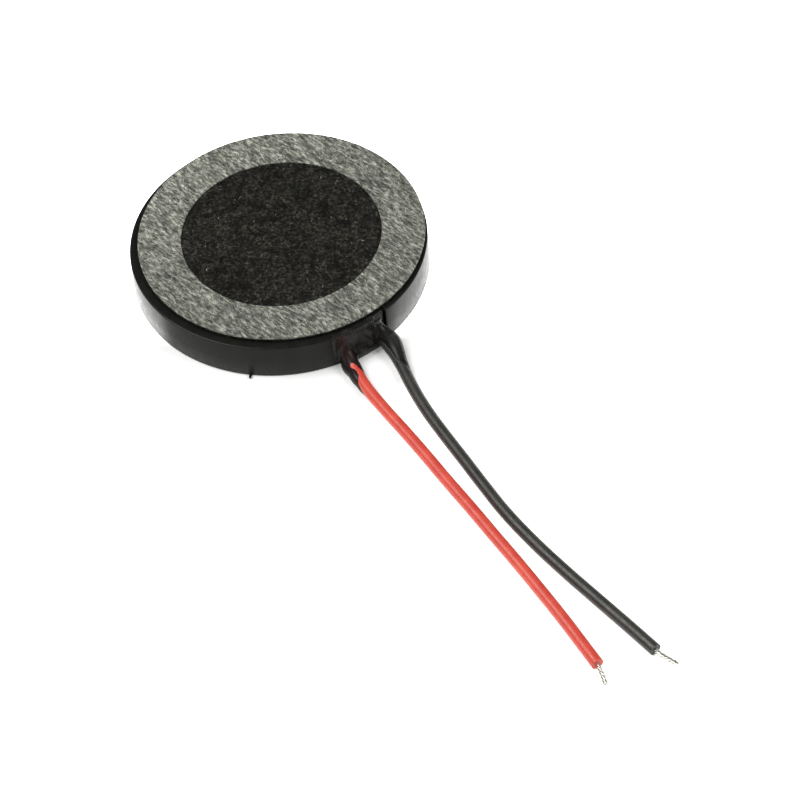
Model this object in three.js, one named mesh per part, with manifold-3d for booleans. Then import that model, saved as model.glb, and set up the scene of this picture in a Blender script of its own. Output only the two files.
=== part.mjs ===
// Coin-shaped linear vibration motor with a cloth face.
//
// A moulded ring closed by a steel cover at each end. The magnet circuit hangs between two flat
// springs and is the vibrating mass. A voice coil on a light diaphragm drives against it. Two leads
// leave through a glued pocket in the side wall.
//
// Millimetres. Z = 0 is the back face, +Z points out of the cloth face, the axis is X = Y = 0.

import * as THREE from 'three';
import { mergeVertices } from 'three/addons/utils/BufferGeometryUtils.js';
import Module from 'manifold-3d';

// Driving dimensions.
const HOUSING_RADIUS = 10;
const HOUSING_HEIGHT = 2.58;
const CLOTH_THICKNESS = 0.18;
const ADHESIVE_THICKNESS = 0.14;
const FIT = 0.02; // clearance between pieces that touch
const DROP_IN_FIT = 0.03; // radial clearance of a round piece that drops into the housing
const ROUND_SIDES = 48;

// Steps of the housing bore, from the back to the front.
const SEAT_RADIUS = 8.45;
const BORE_RADIUS = 8;
const FRONT_RADIUS = 8.85;
const BOTTOM_CHAMFER = 0.08;
const TOP_ROUND = 0.16;
const TOP_ROUND_STEP = 0.05;
const REAR_STEP = 0.52;
const SPRING_STEP = 1.5;
const FILM_STEP = 1.88;

// Moving mass.
const YOKE_RADIUS = 6;
const YOKE_INNER_RADIUS = 5.5;
const YOKE_BASE = 0.28;
const MAGNET_RADIUS = 4.55;
const MAGNET_THICKNESS = 0.5;
const POLE_RADIUS = 4.65;
const WEIGHT_RADIUS = 7.5;
const WEIGHT_SHOULDER_RADIUS = 6.5;
const WEIGHT_RELIEF = 0.22; // lets the spring arms flex past the weight

// Flat springs.
const SPRING_THICKNESS = 0.06;
const SPRING_HUB_INNER = 5.75;
const SPRING_RIM_INNER = 8.03;
const ARM_COUNT = 3;
const ARM_SWEEP = THREE.MathUtils.degToRad(110);
const ARM_HALF_WIDTH = 0.22;
const ARM_ROOT_INSET = 0.25; // how far an arm's middle line starts inside the hub's edge

// Diaphragm and voice coil.
const FILM_THICKNESS = 0.05;
const DOME_FLANGE_RADIUS = 5.45;
const DOME_RADIUS = 4.9;
const DOME_RISE = 0.21;
const ROLL_INNER = 5.8;
const ROLL_OUTER = 8.15;
const ROLL_RISE = 0.2;
const COIL_INNER = 4.95;
const COIL_OUTER = 5.25;
const COIL_HEIGHT = 0.8;
const COIL_WIRE_RADIUS = 0.025;

// Covers.
const COVER_THICKNESS = 0.2;
const COVER_RIM = 0.3;
const FRONT_COVER_BOTTOM = 2.32;
const FRONT_COVER_THICKNESS = 0.22;
const SOUND_HOLE_RADIUS = 0.6;
const SOUND_HOLE_CIRCLE = 4.2;
const SOUND_HOLE_COUNT = 6;
const SOUND_HOLE_SIDES = 16;
const CLAMP_INNER = 8.3;

// Cloth disc and adhesive ring, put on by hand a little off the housing's axis.
const FACE_RADIUS = 9.62;
const FACE_OPENING = 6.72;
const FACE_SHIFT = [0.22, 0.28];

// Lead pocket: a flat-floored recess in the side wall, with a sill along its bottom.
const POCKET_AZIMUTH = THREE.MathUtils.degToRad(-59.2);
const POCKET_HALF_WIDTH = 2.02;
const POCKET_FLOOR = 9.1;
const POCKET_SILL = 0.25;
const POCKET_CUT = [11, 3]; // how far out and up the pocket's cutter reaches
const WIRE_SLOT_HALF_WIDTH = 0.5;
const WIRE_SLOT_BOTTOM = 1.7;
const WIRE_SLOT_OVERLAP = 0.2; // past the bore and past the pocket's floor

// Moulding gate left on the lower edge of the wall.
const GATE_AZIMUTH = THREE.MathUtils.degToRad(-103.6);
const GATE_WIDTH = 0.45;
const GATE_LENGTH = 0.4;
const GATE_HEIGHT = 0.35;
const GATE_BOTTOM = 0.04;

// Terminal board in the pocket.
const BOARD_HALF_WIDTH = 0.8;
const BOARD_THICKNESS = 0.18;
const BOARD_BOTTOM = 0.35;
const BOARD_TOP = 1.62;
const SOLDER_RADIUS = 0.24;
const SOLDER_HEIGHT = 0.2;
const SOLDER_OFFSET = 0.45;
const SOLDER_LEVEL = 1.3;
const SOLDER_SIDES = 16;

// Leads: stranded tinned copper in a PVC sleeve. Each route runs from the top of the pocket, down
// and out over the sill, and along the surface that the motor lies on.
const LEAD_RADIUS = 0.4;
const STRAND_RADIUS = 0.15;
const LEAD_SIDES = 8;
const LEAD_STEPS = 40;
const RED_ROUTE = [
  [3.76, -8.85, 2.1],
  [3.78, -8.89, 1.55],
  [3.89, -9.11, 1.12],
  [4.09, -9.48, 0.79],
  [4.3, -9.98, 0.56],
  [4.56, -10.65, 0.44],
  [4.88, -11.42, 0.4],
  [5.25, -12.25, 0.4],
  [6.22, -14.05, 0.4],
  [7.35, -16, 0.4],
  [8.52, -18.1, 0.4],
  [9.73, -20.35, 0.4],
  [10.98, -22.6, 0.4],
  [12.22, -24.9, 0.4],
  [13.5, -27.25, 0.4],
  [14.76, -29.65, 0.4],
  [15.98, -32.05, 0.4],
  [17.1, -34.4, 0.4],
  [17.65, -35.55, 0.4],
];
const BLACK_ROUTE = [
  [6, -7.52, 2.1],
  [6.03, -7.57, 1.55],
  [6.18, -7.79, 1.13],
  [6.42, -8.14, 0.8],
  [6.72, -8.62, 0.58],
  [7.07, -9.24, 0.45],
  [7.35, -9.92, 0.4],
  [7.59, -10.65, 0.4],
  [8.09, -12.3, 0.4],
  [8.87, -14.4, 0.4],
  [9.83, -16.5, 0.4],
  [10.92, -18.75, 0.4],
  [12, -21, 0.4],
  [13.16, -23.3, 0.4],
  [14.62, -25.72, 0.4],
  [16.28, -28.15, 0.4],
  [18.08, -30.6, 0.4],
  [19.82, -32.95, 0.4],
  [21.2, -34.85, 0.4],
];
const RED_TIP = [
  [17.66, -35.57, 0.3],
  [17.84, -36.2, 0.25],
  [17.98, -36.9, 0.22],
];
const BLACK_TIP = [
  [21.22, -34.87, 0.34],
  [21.78, -35.4, 0.27],
  [22.42, -35.88, 0.2],
];

// Glue: how far it reaches at its top and outside the wall, and the two lumps of it along the leads.
const GLUE_BELOW_TOP = 0.04;
const GLUE_FILL_OUT = 12;
const GLUE_SPREAD_OUT = 16;
const GLUE_BULGE = 0.1;
const GLUE_LUMPS = [
  { centre: [4.62, -10.5, 0.42], direction: [0.44, -0.9, -0.06], halfLength: 1.75, halfThickness: 0.62 },
  { centre: [6.95, -9, 0.5], direction: [0.42, -0.9, -0.1], halfLength: 1.35, halfThickness: 0.66 },
];
const LUMP_SIDES = 14;
const LUMP_RINGS = 10;

// Heights that follow from the stack.
const YOKE_BOTTOM = REAR_STEP;
const MAGNET_BOTTOM = YOKE_BOTTOM + YOKE_BASE;
const POLE_BOTTOM = MAGNET_BOTTOM + MAGNET_THICKNESS;
const MASS_TOP = SPRING_STEP;
const FRONT_SPRING_BOTTOM = SPRING_STEP + FIT;
const REAR_SPRING_BOTTOM = REAR_STEP - FIT - SPRING_THICKNESS;
const FILM_BOTTOM = FILM_STEP + FIT;
const FILM_TOP = FILM_BOTTOM + FILM_THICKNESS;
const COIL_TOP = FILM_BOTTOM - FIT;
const CLOTH_TOP = HOUSING_HEIGHT + CLOTH_THICKNESS;

const manifold = await Module();
manifold.setup();

// ---- shape helpers -------------------------------------------------------------------------

// Turns a closed outline of [radius, height] points about the Z axis.
function revolve(outline, sides = ROUND_SIDES) {
  const points = outline.map(([radius, height]) => new THREE.Vector2(radius, height));
  return new THREE.LatheGeometry(points, sides).rotateX(Math.PI / 2);
}

function ring(inner, outer, bottom, top) {
  return revolve([[inner, bottom], [outer, bottom], [outer, top], [inner, top], [inner, bottom]]);
}

function disc(radius, bottom, top) {
  return revolve([[0, bottom], [radius, bottom], [radius, top], [0, top]]);
}

function polar(radius, angle) {
  return new THREE.Vector2(radius * Math.cos(angle), radius * Math.sin(angle));
}

function circlePoints(radius, sides, centre = [0, 0]) {
  const points = [];
  for (let i = 0; i < sides; i += 1) {
    points.push(polar(radius, (2 * Math.PI * i) / sides).add(new THREE.Vector2(...centre)));
  }
  return points;
}

// A flat plate with holes, standing on the given height.
function plate(outline, holes, bottom, thickness) {
  const shape = new THREE.Shape(outline);
  shape.holes = holes.map((points) => new THREE.Path(points));
  const geometry = new THREE.ExtrudeGeometry(shape, { depth: thickness, bevelEnabled: false });
  return geometry.translate(0, 0, bottom);
}

// A round bar along a route of [x, y, z] points.
function bar(route, radius, sides, steps) {
  const path = new THREE.CatmullRomCurve3(route.map((point) => new THREE.Vector3(...point)));
  const section = new THREE.Shape(circlePoints(radius, sides));
  return new THREE.ExtrudeGeometry(section, { steps, extrudePath: path });
}

// A point in the pocket: out from the axis, across the pocket towards the black lead, and up.
function inPocket([out, across, up]) {
  const point = new THREE.Vector2(out, across).rotateAround(new THREE.Vector2(), POCKET_AZIMUTH);
  return [point.x, point.y, up];
}

// A block in the pocket's own directions.
function pocketBlock([outFrom, outTo], halfWidth, [bottom, top]) {
  const geometry = new THREE.BoxGeometry(outTo - outFrom, 2 * halfWidth, top - bottom);
  geometry.translate((outFrom + outTo) / 2, 0, (bottom + top) / 2);
  return geometry.rotateZ(POCKET_AZIMUTH);
}

// A rounded lump of glue, long along a direction.
function lump({ centre, direction, halfLength, halfThickness }) {
  const geometry = new THREE.SphereGeometry(1, LUMP_SIDES, LUMP_RINGS);
  geometry.scale(halfLength, halfThickness, halfThickness);
  const turn = new THREE.Quaternion().setFromUnitVectors(
    new THREE.Vector3(1, 0, 0),
    new THREE.Vector3(...direction).normalize(),
  );
  return geometry.applyQuaternion(turn).translate(...centre);
}

function toSolid(geometry) {
  const bare = geometry.clone();
  bare.deleteAttribute('normal');
  bare.deleteAttribute('uv');
  const merged = mergeVertices(bare, 1e-5);
  const corners = merged.index.array;
  const kept = [];
  for (let i = 0; i < corners.length; i += 3) {
    const [a, b, c] = corners.slice(i, i + 3);
    if (a !== b && b !== c && c !== a) {
      kept.push(a, b, c);
    }
  }
  const mesh = new manifold.Mesh({
    numProp: 3,
    vertProperties: Float32Array.from(merged.attributes.position.array),
    triVerts: Uint32Array.from(kept),
  });
  return new manifold.Manifold(mesh);
}

function toGeometry(solid) {
  const mesh = solid.getMesh();
  const geometry = new THREE.BufferGeometry();
  geometry.setAttribute('position', new THREE.BufferAttribute(mesh.vertProperties, 3));
  geometry.setIndex(new THREE.BufferAttribute(mesh.triVerts, 1));
  geometry.computeVertexNormals();
  return geometry;
}

// ---- housing and covers --------------------------------------------------------------------

// Moulded ring with a stepped bore, the lead pocket, the coil wire slot and the moulding gate.
function housing() {
  const outline = [
    [SEAT_RADIUS, 0],
    [HOUSING_RADIUS - BOTTOM_CHAMFER, 0],
    [HOUSING_RADIUS, BOTTOM_CHAMFER],
    [HOUSING_RADIUS, HOUSING_HEIGHT - TOP_ROUND],
    [HOUSING_RADIUS - TOP_ROUND_STEP, HOUSING_HEIGHT - TOP_ROUND_STEP],
    [HOUSING_RADIUS - TOP_ROUND, HOUSING_HEIGHT],
    [FRONT_RADIUS, HOUSING_HEIGHT],
    [FRONT_RADIUS, FILM_STEP],
    [SEAT_RADIUS, FILM_STEP],
    [SEAT_RADIUS, SPRING_STEP],
    [BORE_RADIUS, SPRING_STEP],
    [BORE_RADIUS, REAR_STEP],
    [SEAT_RADIUS, REAR_STEP],
    [SEAT_RADIUS, 0],
  ];
  const [cutOut, cutUp] = POCKET_CUT;
  const pocket = pocketBlock([POCKET_FLOOR, cutOut], POCKET_HALF_WIDTH, [POCKET_SILL, cutUp]);
  const wireSlot = pocketBlock(
    [BORE_RADIUS + WIRE_SLOT_OVERLAP, POCKET_FLOOR + WIRE_SLOT_OVERLAP],
    WIRE_SLOT_HALF_WIDTH,
    [WIRE_SLOT_BOTTOM, FILM_BOTTOM],
  );
  const gate = new THREE.BoxGeometry(2 * GATE_LENGTH, GATE_WIDTH, GATE_HEIGHT);
  gate.translate(HOUSING_RADIUS, 0, GATE_HEIGHT / 2 + GATE_BOTTOM).rotateZ(GATE_AZIMUTH);
  const body = toSolid(revolve(outline)).add(toSolid(gate));
  return toGeometry(body.subtract(toSolid(pocket)).subtract(toSolid(wireSlot)));
}

// Drawn steel pan. Its rim clamps the rear spring against the housing's step.
function rearCover() {
  const radius = SEAT_RADIUS - DROP_IN_FIT;
  const rimTop = REAR_SPRING_BOTTOM - FIT;
  return revolve([
    [0, 0],
    [radius, 0],
    [radius, rimTop],
    [radius - COVER_RIM, rimTop],
    [radius - COVER_RIM, COVER_THICKNESS],
    [0, COVER_THICKNESS],
  ]);
}

// Stamped steel disc with a ring of sound holes around a middle one.
function frontCover() {
  const holes = [circlePoints(SOUND_HOLE_RADIUS, SOUND_HOLE_SIDES)];
  for (let i = 0; i < SOUND_HOLE_COUNT; i += 1) {
    const centre = polar(SOUND_HOLE_CIRCLE, (2 * Math.PI * i) / SOUND_HOLE_COUNT);
    holes.push(circlePoints(SOUND_HOLE_RADIUS, SOUND_HOLE_SIDES, centre.toArray()));
  }
  const outline = circlePoints(FRONT_RADIUS - DROP_IN_FIT, ROUND_SIDES);
  return plate(outline, holes, FRONT_COVER_BOTTOM, FRONT_COVER_THICKNESS);
}

function frontCloth() {
  return disc(FACE_RADIUS, HOUSING_HEIGHT, CLOTH_TOP).translate(...FACE_SHIFT, 0);
}

function adhesiveRing() {
  const top = CLOTH_TOP + ADHESIVE_THICKNESS;
  return ring(FACE_OPENING, FACE_RADIUS, CLOTH_TOP, top).translate(...FACE_SHIFT, 0);
}

// Spacer ring that holds the diaphragm's rim down on the film step, under the front cover.
function clampRing() {
  return ring(CLAMP_INNER, FRONT_RADIUS - DROP_IN_FIT, FILM_TOP + FIT, FRONT_COVER_BOTTOM - FIT);
}

// ---- moving mass ---------------------------------------------------------------------------

function yoke() {
  return revolve([
    [0, YOKE_BOTTOM],
    [YOKE_RADIUS, YOKE_BOTTOM],
    [YOKE_RADIUS, MASS_TOP],
    [YOKE_INNER_RADIUS, MASS_TOP],
    [YOKE_INNER_RADIUS, MAGNET_BOTTOM],
    [0, MAGNET_BOTTOM],
  ]);
}

function magnet() {
  return disc(MAGNET_RADIUS, MAGNET_BOTTOM, POLE_BOTTOM);
}

function polePlate() {
  return disc(POLE_RADIUS, POLE_BOTTOM, MASS_TOP);
}

// Heavy alloy ring around the yoke, with its outer part thinned for the spring arms.
function weightRing() {
  const inner = YOKE_RADIUS + FIT;
  return revolve([
    [inner, YOKE_BOTTOM],
    [WEIGHT_SHOULDER_RADIUS, YOKE_BOTTOM],
    [WEIGHT_SHOULDER_RADIUS, YOKE_BOTTOM + WEIGHT_RELIEF],
    [WEIGHT_RADIUS, YOKE_BOTTOM + WEIGHT_RELIEF],
    [WEIGHT_RADIUS, MASS_TOP - WEIGHT_RELIEF],
    [WEIGHT_SHOULDER_RADIUS, MASS_TOP - WEIGHT_RELIEF],
    [WEIGHT_SHOULDER_RADIUS, MASS_TOP],
    [inner, MASS_TOP],
    [inner, YOKE_BOTTOM],
  ]);
}

// Flat spring: a rim, a hub and three spiral arms. What is cut away is a window between each two
// arms, bounded by one arm's inner edge, the rim, the next arm's outer edge and the hub.
function flatSpring(bottom, direction) {
  const armStart = WEIGHT_SHOULDER_RADIUS - ARM_ROOT_INSET;
  const armEnd = SPRING_RIM_INNER + ARM_HALF_WIDTH;
  const reach = armEnd - armStart;
  const pitch = (2 * Math.PI) / ARM_COUNT;
  const steps = 9;
  const windows = [];
  for (let arm = 0; arm < ARM_COUNT; arm += 1) {
    const first = arm * pitch;
    const next = first + pitch;
    const edge = (start, side, from, to) => {
      const points = [];
      for (let i = 0; i <= steps; i += 1) {
        const along = from + ((to - from) * i) / steps;
        points.push(polar(armStart + reach * along + side * ARM_HALF_WIDTH, start + ARM_SWEEP * along));
      }
      return points;
    };
    const arc = (radius, from, to) => {
      const points = [];
      for (let i = 1; i < steps; i += 1) {
        points.push(polar(radius, from + ((to - from) * i) / steps));
      }
      return points;
    };
    const innerFrom = (WEIGHT_SHOULDER_RADIUS + ARM_HALF_WIDTH - armStart) / reach;
    const outerFrom = (WEIGHT_SHOULDER_RADIUS - ARM_HALF_WIDTH - armStart) / reach;
    const outerTo = (SPRING_RIM_INNER - ARM_HALF_WIDTH - armStart) / reach;
    windows.push([
      ...edge(first, -1, innerFrom, 1),
      ...arc(SPRING_RIM_INNER, first + ARM_SWEEP, next + ARM_SWEEP * outerTo),
      ...edge(next, 1, outerTo, outerFrom),
      ...arc(WEIGHT_SHOULDER_RADIUS, next + ARM_SWEEP * outerFrom, first + ARM_SWEEP * innerFrom),
    ]);
  }
  const turned = (points) => points.map((point) => new THREE.Vector2(point.x, direction * point.y));
  const outline = circlePoints(SEAT_RADIUS - DROP_IN_FIT, ROUND_SIDES);
  const holes = [circlePoints(SPRING_HUB_INNER, ROUND_SIDES), ...windows.map(turned)];
  return plate(outline, holes, bottom, SPRING_THICKNESS);
}

// ---- diaphragm and voice coil ----------------------------------------------------------------

// Stiff centre of the diaphragm: a shallow dome with the flange that the coil is glued to.
function diaphragmDome() {
  const steps = 4;
  const under = [];
  const over = [];
  for (let i = 0; i <= steps; i += 1) {
    const radius = (DOME_RADIUS * i) / steps;
    const rise = DOME_RISE * Math.cos((Math.PI / 2) * (radius / DOME_RADIUS));
    under.push([radius, FILM_BOTTOM + rise]);
    over.unshift([radius, FILM_TOP + rise]);
  }
  const flange = [[DOME_FLANGE_RADIUS, FILM_BOTTOM], [DOME_FLANGE_RADIUS, FILM_TOP]];
  return revolve([...under, ...flange, ...over]);
}

// Thin film around the dome: a half-round roll that flexes, and the rim that is clamped.
function diaphragmSurround() {
  const inner = DOME_FLANGE_RADIUS + FIT;
  const outer = FRONT_RADIUS - 2 * FIT;
  const steps = 6;
  const under = [[inner, FILM_BOTTOM]];
  const over = [[inner, FILM_TOP]];
  for (let i = 0; i <= steps; i += 1) {
    const radius = ROLL_INNER + ((ROLL_OUTER - ROLL_INNER) * i) / steps;
    const rise = ROLL_RISE * Math.sin((Math.PI * i) / steps);
    under.push([radius, FILM_BOTTOM + rise]);
    over.unshift([radius, FILM_TOP + rise]);
  }
  const start = over.pop();
  return revolve([...under, [outer, FILM_BOTTOM], [outer, FILM_TOP], ...over, start, [inner, FILM_BOTTOM]]);
}

function voiceCoil() {
  return ring(COIL_INNER, COIL_OUTER, COIL_TOP - COIL_HEIGHT, COIL_TOP);
}

// Fine coil wire: out under the film, through the housing's slot and down to its solder joint.
function coilLeadRoute(side) {
  return [
    [COIL_OUTER + 0.04, side * 0.22, 1.84],
    [6.4, side * 0.22, 1.84],
    [7.6, side * 0.22, 1.84],
    [8.6, side * 0.2, 1.82],
    [9.15, side * 0.17, 1.79],
    [9.36, side * 0.14, 1.66],
    [9.36, side * 0.14, 1.42],
  ].map(inPocket);
}

// ---- terminals and leads -----------------------------------------------------------------------

function terminalBoard(grow = 0) {
  const out = [POCKET_FLOOR + FIT - grow, POCKET_FLOOR + FIT + BOARD_THICKNESS + grow];
  return pocketBlock(out, BOARD_HALF_WIDTH + grow, [BOARD_BOTTOM - grow, BOARD_TOP + grow]);
}

// Low dome of solder on a pad of the board.
function solderJoint(side, grow = 0) {
  const radius = SOLDER_RADIUS + grow;
  const height = SOLDER_HEIGHT + grow;
  const outline = [[0, -grow]];
  for (let i = 0; i <= 5; i += 1) {
    const angle = ((Math.PI / 2) * i) / 5;
    outline.push([i === 5 ? 0 : radius * Math.cos(angle), height * Math.sin(angle)]);
  }
  const dome = revolve(outline, SOLDER_SIDES).rotateY(Math.PI / 2);
  dome.translate(POCKET_FLOOR + 2 * FIT + BOARD_THICKNESS, side * SOLDER_OFFSET, SOLDER_LEVEL);
  return dome.rotateZ(POCKET_AZIMUTH);
}

// Stripped strands, from the top of the lead over to the solder joint.
function rootRoute(side, leadTop) {
  const over = [
    [9.52, side * 1.24, 2.28],
    [9.5, side * 1.02, 2.38],
    [9.5, side * 0.76, 2.34],
    [9.5, side * 0.56, 2.12],
    [9.5, side * 0.47, 1.84],
    [9.48, side * 0.45, 1.6],
  ].map(inPocket);
  const [x, y, z] = leadTop;
  return [[x, y, z + FIT], ...over];
}

const RED_SIDE = -1;
const BLACK_SIDE = 1;
const RED_ROOT = rootRoute(RED_SIDE, RED_ROUTE[0]);
const BLACK_ROOT = rootRoute(BLACK_SIDE, BLACK_ROUTE[0]);
const STRAND_STEPS = 10;
const COIL_LEAD_STEPS = 10;
const COIL_WIRE_SIDES = 6;
const TIP_STEPS = 4;

// Glue that fills the pocket and runs out along each lead, moulded around what lies in it.
function leadGlue() {
  const top = HOUSING_HEIGHT - GLUE_BELOW_TOP;
  const bottom = POCKET_SILL + FIT;
  const fill = [POCKET_FLOOR + FIT, GLUE_FILL_OUT];
  const inPocketOnly = toSolid(pocketBlock(fill, POCKET_HALF_WIDTH - FIT, [bottom, top]));
  const outside = toSolid(ring(HOUSING_RADIUS + FIT, GLUE_SPREAD_OUT, FIT, top));
  const drop = toSolid(disc(HOUSING_RADIUS + GLUE_BULGE, bottom, top)).intersect(inPocketOnly);
  const [redLump, blackLump] = GLUE_LUMPS.map(lump).map(toSolid);
  const fillets = redLump.add(blackLump);
  let glue = fillets.intersect(inPocketOnly.add(outside)).add(drop);
  const cutters = [
    bar(RED_ROUTE, LEAD_RADIUS + FIT, LEAD_SIDES, LEAD_STEPS),
    bar(BLACK_ROUTE, LEAD_RADIUS + FIT, LEAD_SIDES, LEAD_STEPS),
    bar(RED_ROOT, STRAND_RADIUS + FIT, LEAD_SIDES, STRAND_STEPS),
    bar(BLACK_ROOT, STRAND_RADIUS + FIT, LEAD_SIDES, STRAND_STEPS),
    bar(coilLeadRoute(RED_SIDE), COIL_WIRE_RADIUS + FIT, COIL_WIRE_SIDES, COIL_LEAD_STEPS),
    bar(coilLeadRoute(BLACK_SIDE), COIL_WIRE_RADIUS + FIT, COIL_WIRE_SIDES, COIL_LEAD_STEPS),
    terminalBoard(FIT),
    solderJoint(RED_SIDE, 2 * FIT),
    solderJoint(BLACK_SIDE, 2 * FIT),
  ];
  for (const cutter of cutters) {
    glue = glue.subtract(toSolid(cutter));
  }
  return toGeometry(glue);
}

// ---- assembly ----------------------------------------------------------------------------------

function finish(color, roughness, metalness = 0) {
  return { color, roughness, metalness };
}

const MOULDED = finish(0x17171a, 0.4);
const STEEL = finish(0xb4b6b8, 0.35, 1);
const SPRING_STEEL = finish(0xc6c8ca, 0.28, 1);
const NICKEL = finish(0xc9c6bf, 0.25, 1);
const HEAVY_ALLOY = finish(0x7f8082, 0.45, 1);
const CLOTH = finish(0x222224, 0.95);
const TISSUE = finish(0x9a9a90, 0.85);
const FILM = finish(0xc39a55, 0.3);
const COPPER = finish(0xb8673a, 0.35, 1);
const SOLDER = finish(0xbfc1c4, 0.35, 1);
const TINNED = finish(0xb9b2a8, 0.4, 1);
const BOARD = finish(0x24563a, 0.5);
const RED_PVC = finish(0xd9483a, 0.35);
const BLACK_PVC = finish(0x2a2b2d, 0.4);
const GLUE = finish(0x101012, 0.3);

const motor = new THREE.Group();

function place(name, geometry, look) {
  const mesh = new THREE.Mesh(geometry, new THREE.MeshStandardMaterial(look));
  mesh.name = name;
  motor.add(mesh);
}

place('housing', housing(), MOULDED);
place('rear_cover', rearCover(), STEEL);
place('front_cover', frontCover(), STEEL);
place('front_cloth', frontCloth(), CLOTH);
place('adhesive_ring', adhesiveRing(), TISSUE);
place('clamp_ring', clampRing(), MOULDED);

place('yoke', yoke(), STEEL);
place('magnet', magnet(), NICKEL);
place('pole_plate', polePlate(), STEEL);
place('weight_ring', weightRing(), HEAVY_ALLOY);
place('rear_spring', flatSpring(REAR_SPRING_BOTTOM, 1), SPRING_STEEL);
place('front_spring', flatSpring(FRONT_SPRING_BOTTOM, -1), SPRING_STEEL);

place('diaphragm_dome', diaphragmDome(), FILM);
place('diaphragm_surround', diaphragmSurround(), FILM);
place('voice_coil', voiceCoil(), COPPER);
for (const [name, side] of [['coil_lead_red', RED_SIDE], ['coil_lead_black', BLACK_SIDE]]) {
  const wire = bar(coilLeadRoute(side), COIL_WIRE_RADIUS, COIL_WIRE_SIDES, COIL_LEAD_STEPS);
  place(name, wire, COPPER);
}

place('terminal_board', terminalBoard(), BOARD);
place('solder_red', solderJoint(RED_SIDE), SOLDER);
place('solder_black', solderJoint(BLACK_SIDE), SOLDER);
place('root_red', bar(RED_ROOT, STRAND_RADIUS, LEAD_SIDES, STRAND_STEPS), TINNED);
place('root_black', bar(BLACK_ROOT, STRAND_RADIUS, LEAD_SIDES, STRAND_STEPS), TINNED);
place('lead_red', bar(RED_ROUTE, LEAD_RADIUS, LEAD_SIDES, LEAD_STEPS), RED_PVC);
place('lead_black', bar(BLACK_ROUTE, LEAD_RADIUS, LEAD_SIDES, LEAD_STEPS), BLACK_PVC);
place('tip_red', bar(RED_TIP, STRAND_RADIUS, LEAD_SIDES, TIP_STEPS), TINNED);
place('tip_black', bar(BLACK_TIP, STRAND_RADIUS, LEAD_SIDES, TIP_STEPS), TINNED);
place('lead_glue', leadGlue(), GLUE);

export default motor;
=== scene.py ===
# Coin-shaped vibration motor with a cloth face and two soldered leads, built around its packed
# frame. Metres, back face on Z = 0, cloth face up, the motor's axis is X = Y = 0.

import math
import random

import bmesh
import bpy
from mathutils import Matrix, Vector


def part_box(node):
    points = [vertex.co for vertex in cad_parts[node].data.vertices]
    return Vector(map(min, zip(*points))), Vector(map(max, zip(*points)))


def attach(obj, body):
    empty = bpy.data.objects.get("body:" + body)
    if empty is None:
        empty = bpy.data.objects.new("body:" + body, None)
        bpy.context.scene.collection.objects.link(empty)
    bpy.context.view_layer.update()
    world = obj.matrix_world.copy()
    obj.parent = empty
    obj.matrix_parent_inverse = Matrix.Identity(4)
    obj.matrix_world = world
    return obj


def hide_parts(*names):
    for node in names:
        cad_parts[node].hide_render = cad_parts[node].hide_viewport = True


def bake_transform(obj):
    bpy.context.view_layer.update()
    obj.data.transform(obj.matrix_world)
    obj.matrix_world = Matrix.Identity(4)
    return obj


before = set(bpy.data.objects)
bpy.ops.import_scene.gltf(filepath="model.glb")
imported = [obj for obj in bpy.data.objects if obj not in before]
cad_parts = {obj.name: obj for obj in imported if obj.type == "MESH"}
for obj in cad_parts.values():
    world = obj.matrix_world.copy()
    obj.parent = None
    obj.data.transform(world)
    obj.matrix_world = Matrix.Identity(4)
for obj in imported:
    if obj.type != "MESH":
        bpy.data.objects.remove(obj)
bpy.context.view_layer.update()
bpy.ops.object.select_all(action="DESELECT")

MM = 0.001


# ---- camera --------------------------------------------------------------------------------------
# A long lens over the leads' side of the motor, looking down on the cloth face and rolled a
# little, with the motor up to the left and the leads running away to the lower right.

CAMERA_ELEVATION = math.radians(48.42)
CAMERA_ROLL = math.radians(-4.7)
CAMERA_DISTANCE = 0.2
CAMERA_AIM = Vector((7.2 * MM, -12.93 * MM, 0))

backwards = Vector((0, -math.cos(CAMERA_ELEVATION), math.sin(CAMERA_ELEVATION)))
bpy.ops.object.camera_add(
    location=CAMERA_AIM + backwards * CAMERA_DISTANCE,
    rotation=(math.pi / 2 - CAMERA_ELEVATION, 0, CAMERA_ROLL),
)
camera = bpy.context.object
camera.rotation_mode = "ZYX"
camera.data.lens = 139.4
camera.data.sensor_width = 36
camera.data.clip_start = 0.01
camera.data.clip_end = 10
bpy.context.scene.camera = camera


# ---- studio --------------------------------------------------------------------------------------
# A white translucent table in a white tent. The table glows all round, but for a patch before the
# motor, so that the wall mirrors it on both sides. Soft boxes hang upper left and right.

FLOOR_SIZE = 2.0
GLOW_STARTS = -7.2 * MM
GLOW_FULL = -5.6 * MM
GLOW_SLANT = math.radians(4)
GLOW = 2.7
DIM_GLOW = 0.15
DIM_RADIUS = 12.3 * MM
DIM_EDGE = 15.5 * MM

bpy.context.scene.view_settings.view_transform = "Standard"

bpy.ops.mesh.primitive_plane_add(size=FLOOR_SIZE, location=(0, 0, -0.01 * MM))
floor = bpy.context.object
floor.name = "table_top"
floor_look = bpy.data.materials.new("white table")
floor_look.use_nodes = True
floor_shader = floor_look.node_tree.nodes["Principled BSDF"]
floor_shader.inputs["Base Color"].default_value = (0.93, 0.93, 0.925, 1)
floor_shader.inputs["Roughness"].default_value = 0.9
floor_place = floor_look.node_tree.nodes.new("ShaderNodeTexCoord")
floor_turn = floor_look.node_tree.nodes.new("ShaderNodeMapping")
floor_turn.inputs["Rotation"].default_value = (0, 0, GLOW_SLANT)
floor_split = floor_look.node_tree.nodes.new("ShaderNodeSeparateXYZ")
floor_glow = floor_look.node_tree.nodes.new("ShaderNodeMapRange")
floor_glow.interpolation_type = "SMOOTHSTEP"
floor_glow.inputs["From Min"].default_value = GLOW_STARTS
floor_glow.inputs["From Max"].default_value = GLOW_FULL
floor_glow.inputs["To Min"].default_value = DIM_GLOW
floor_glow.inputs["To Max"].default_value = GLOW
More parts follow.
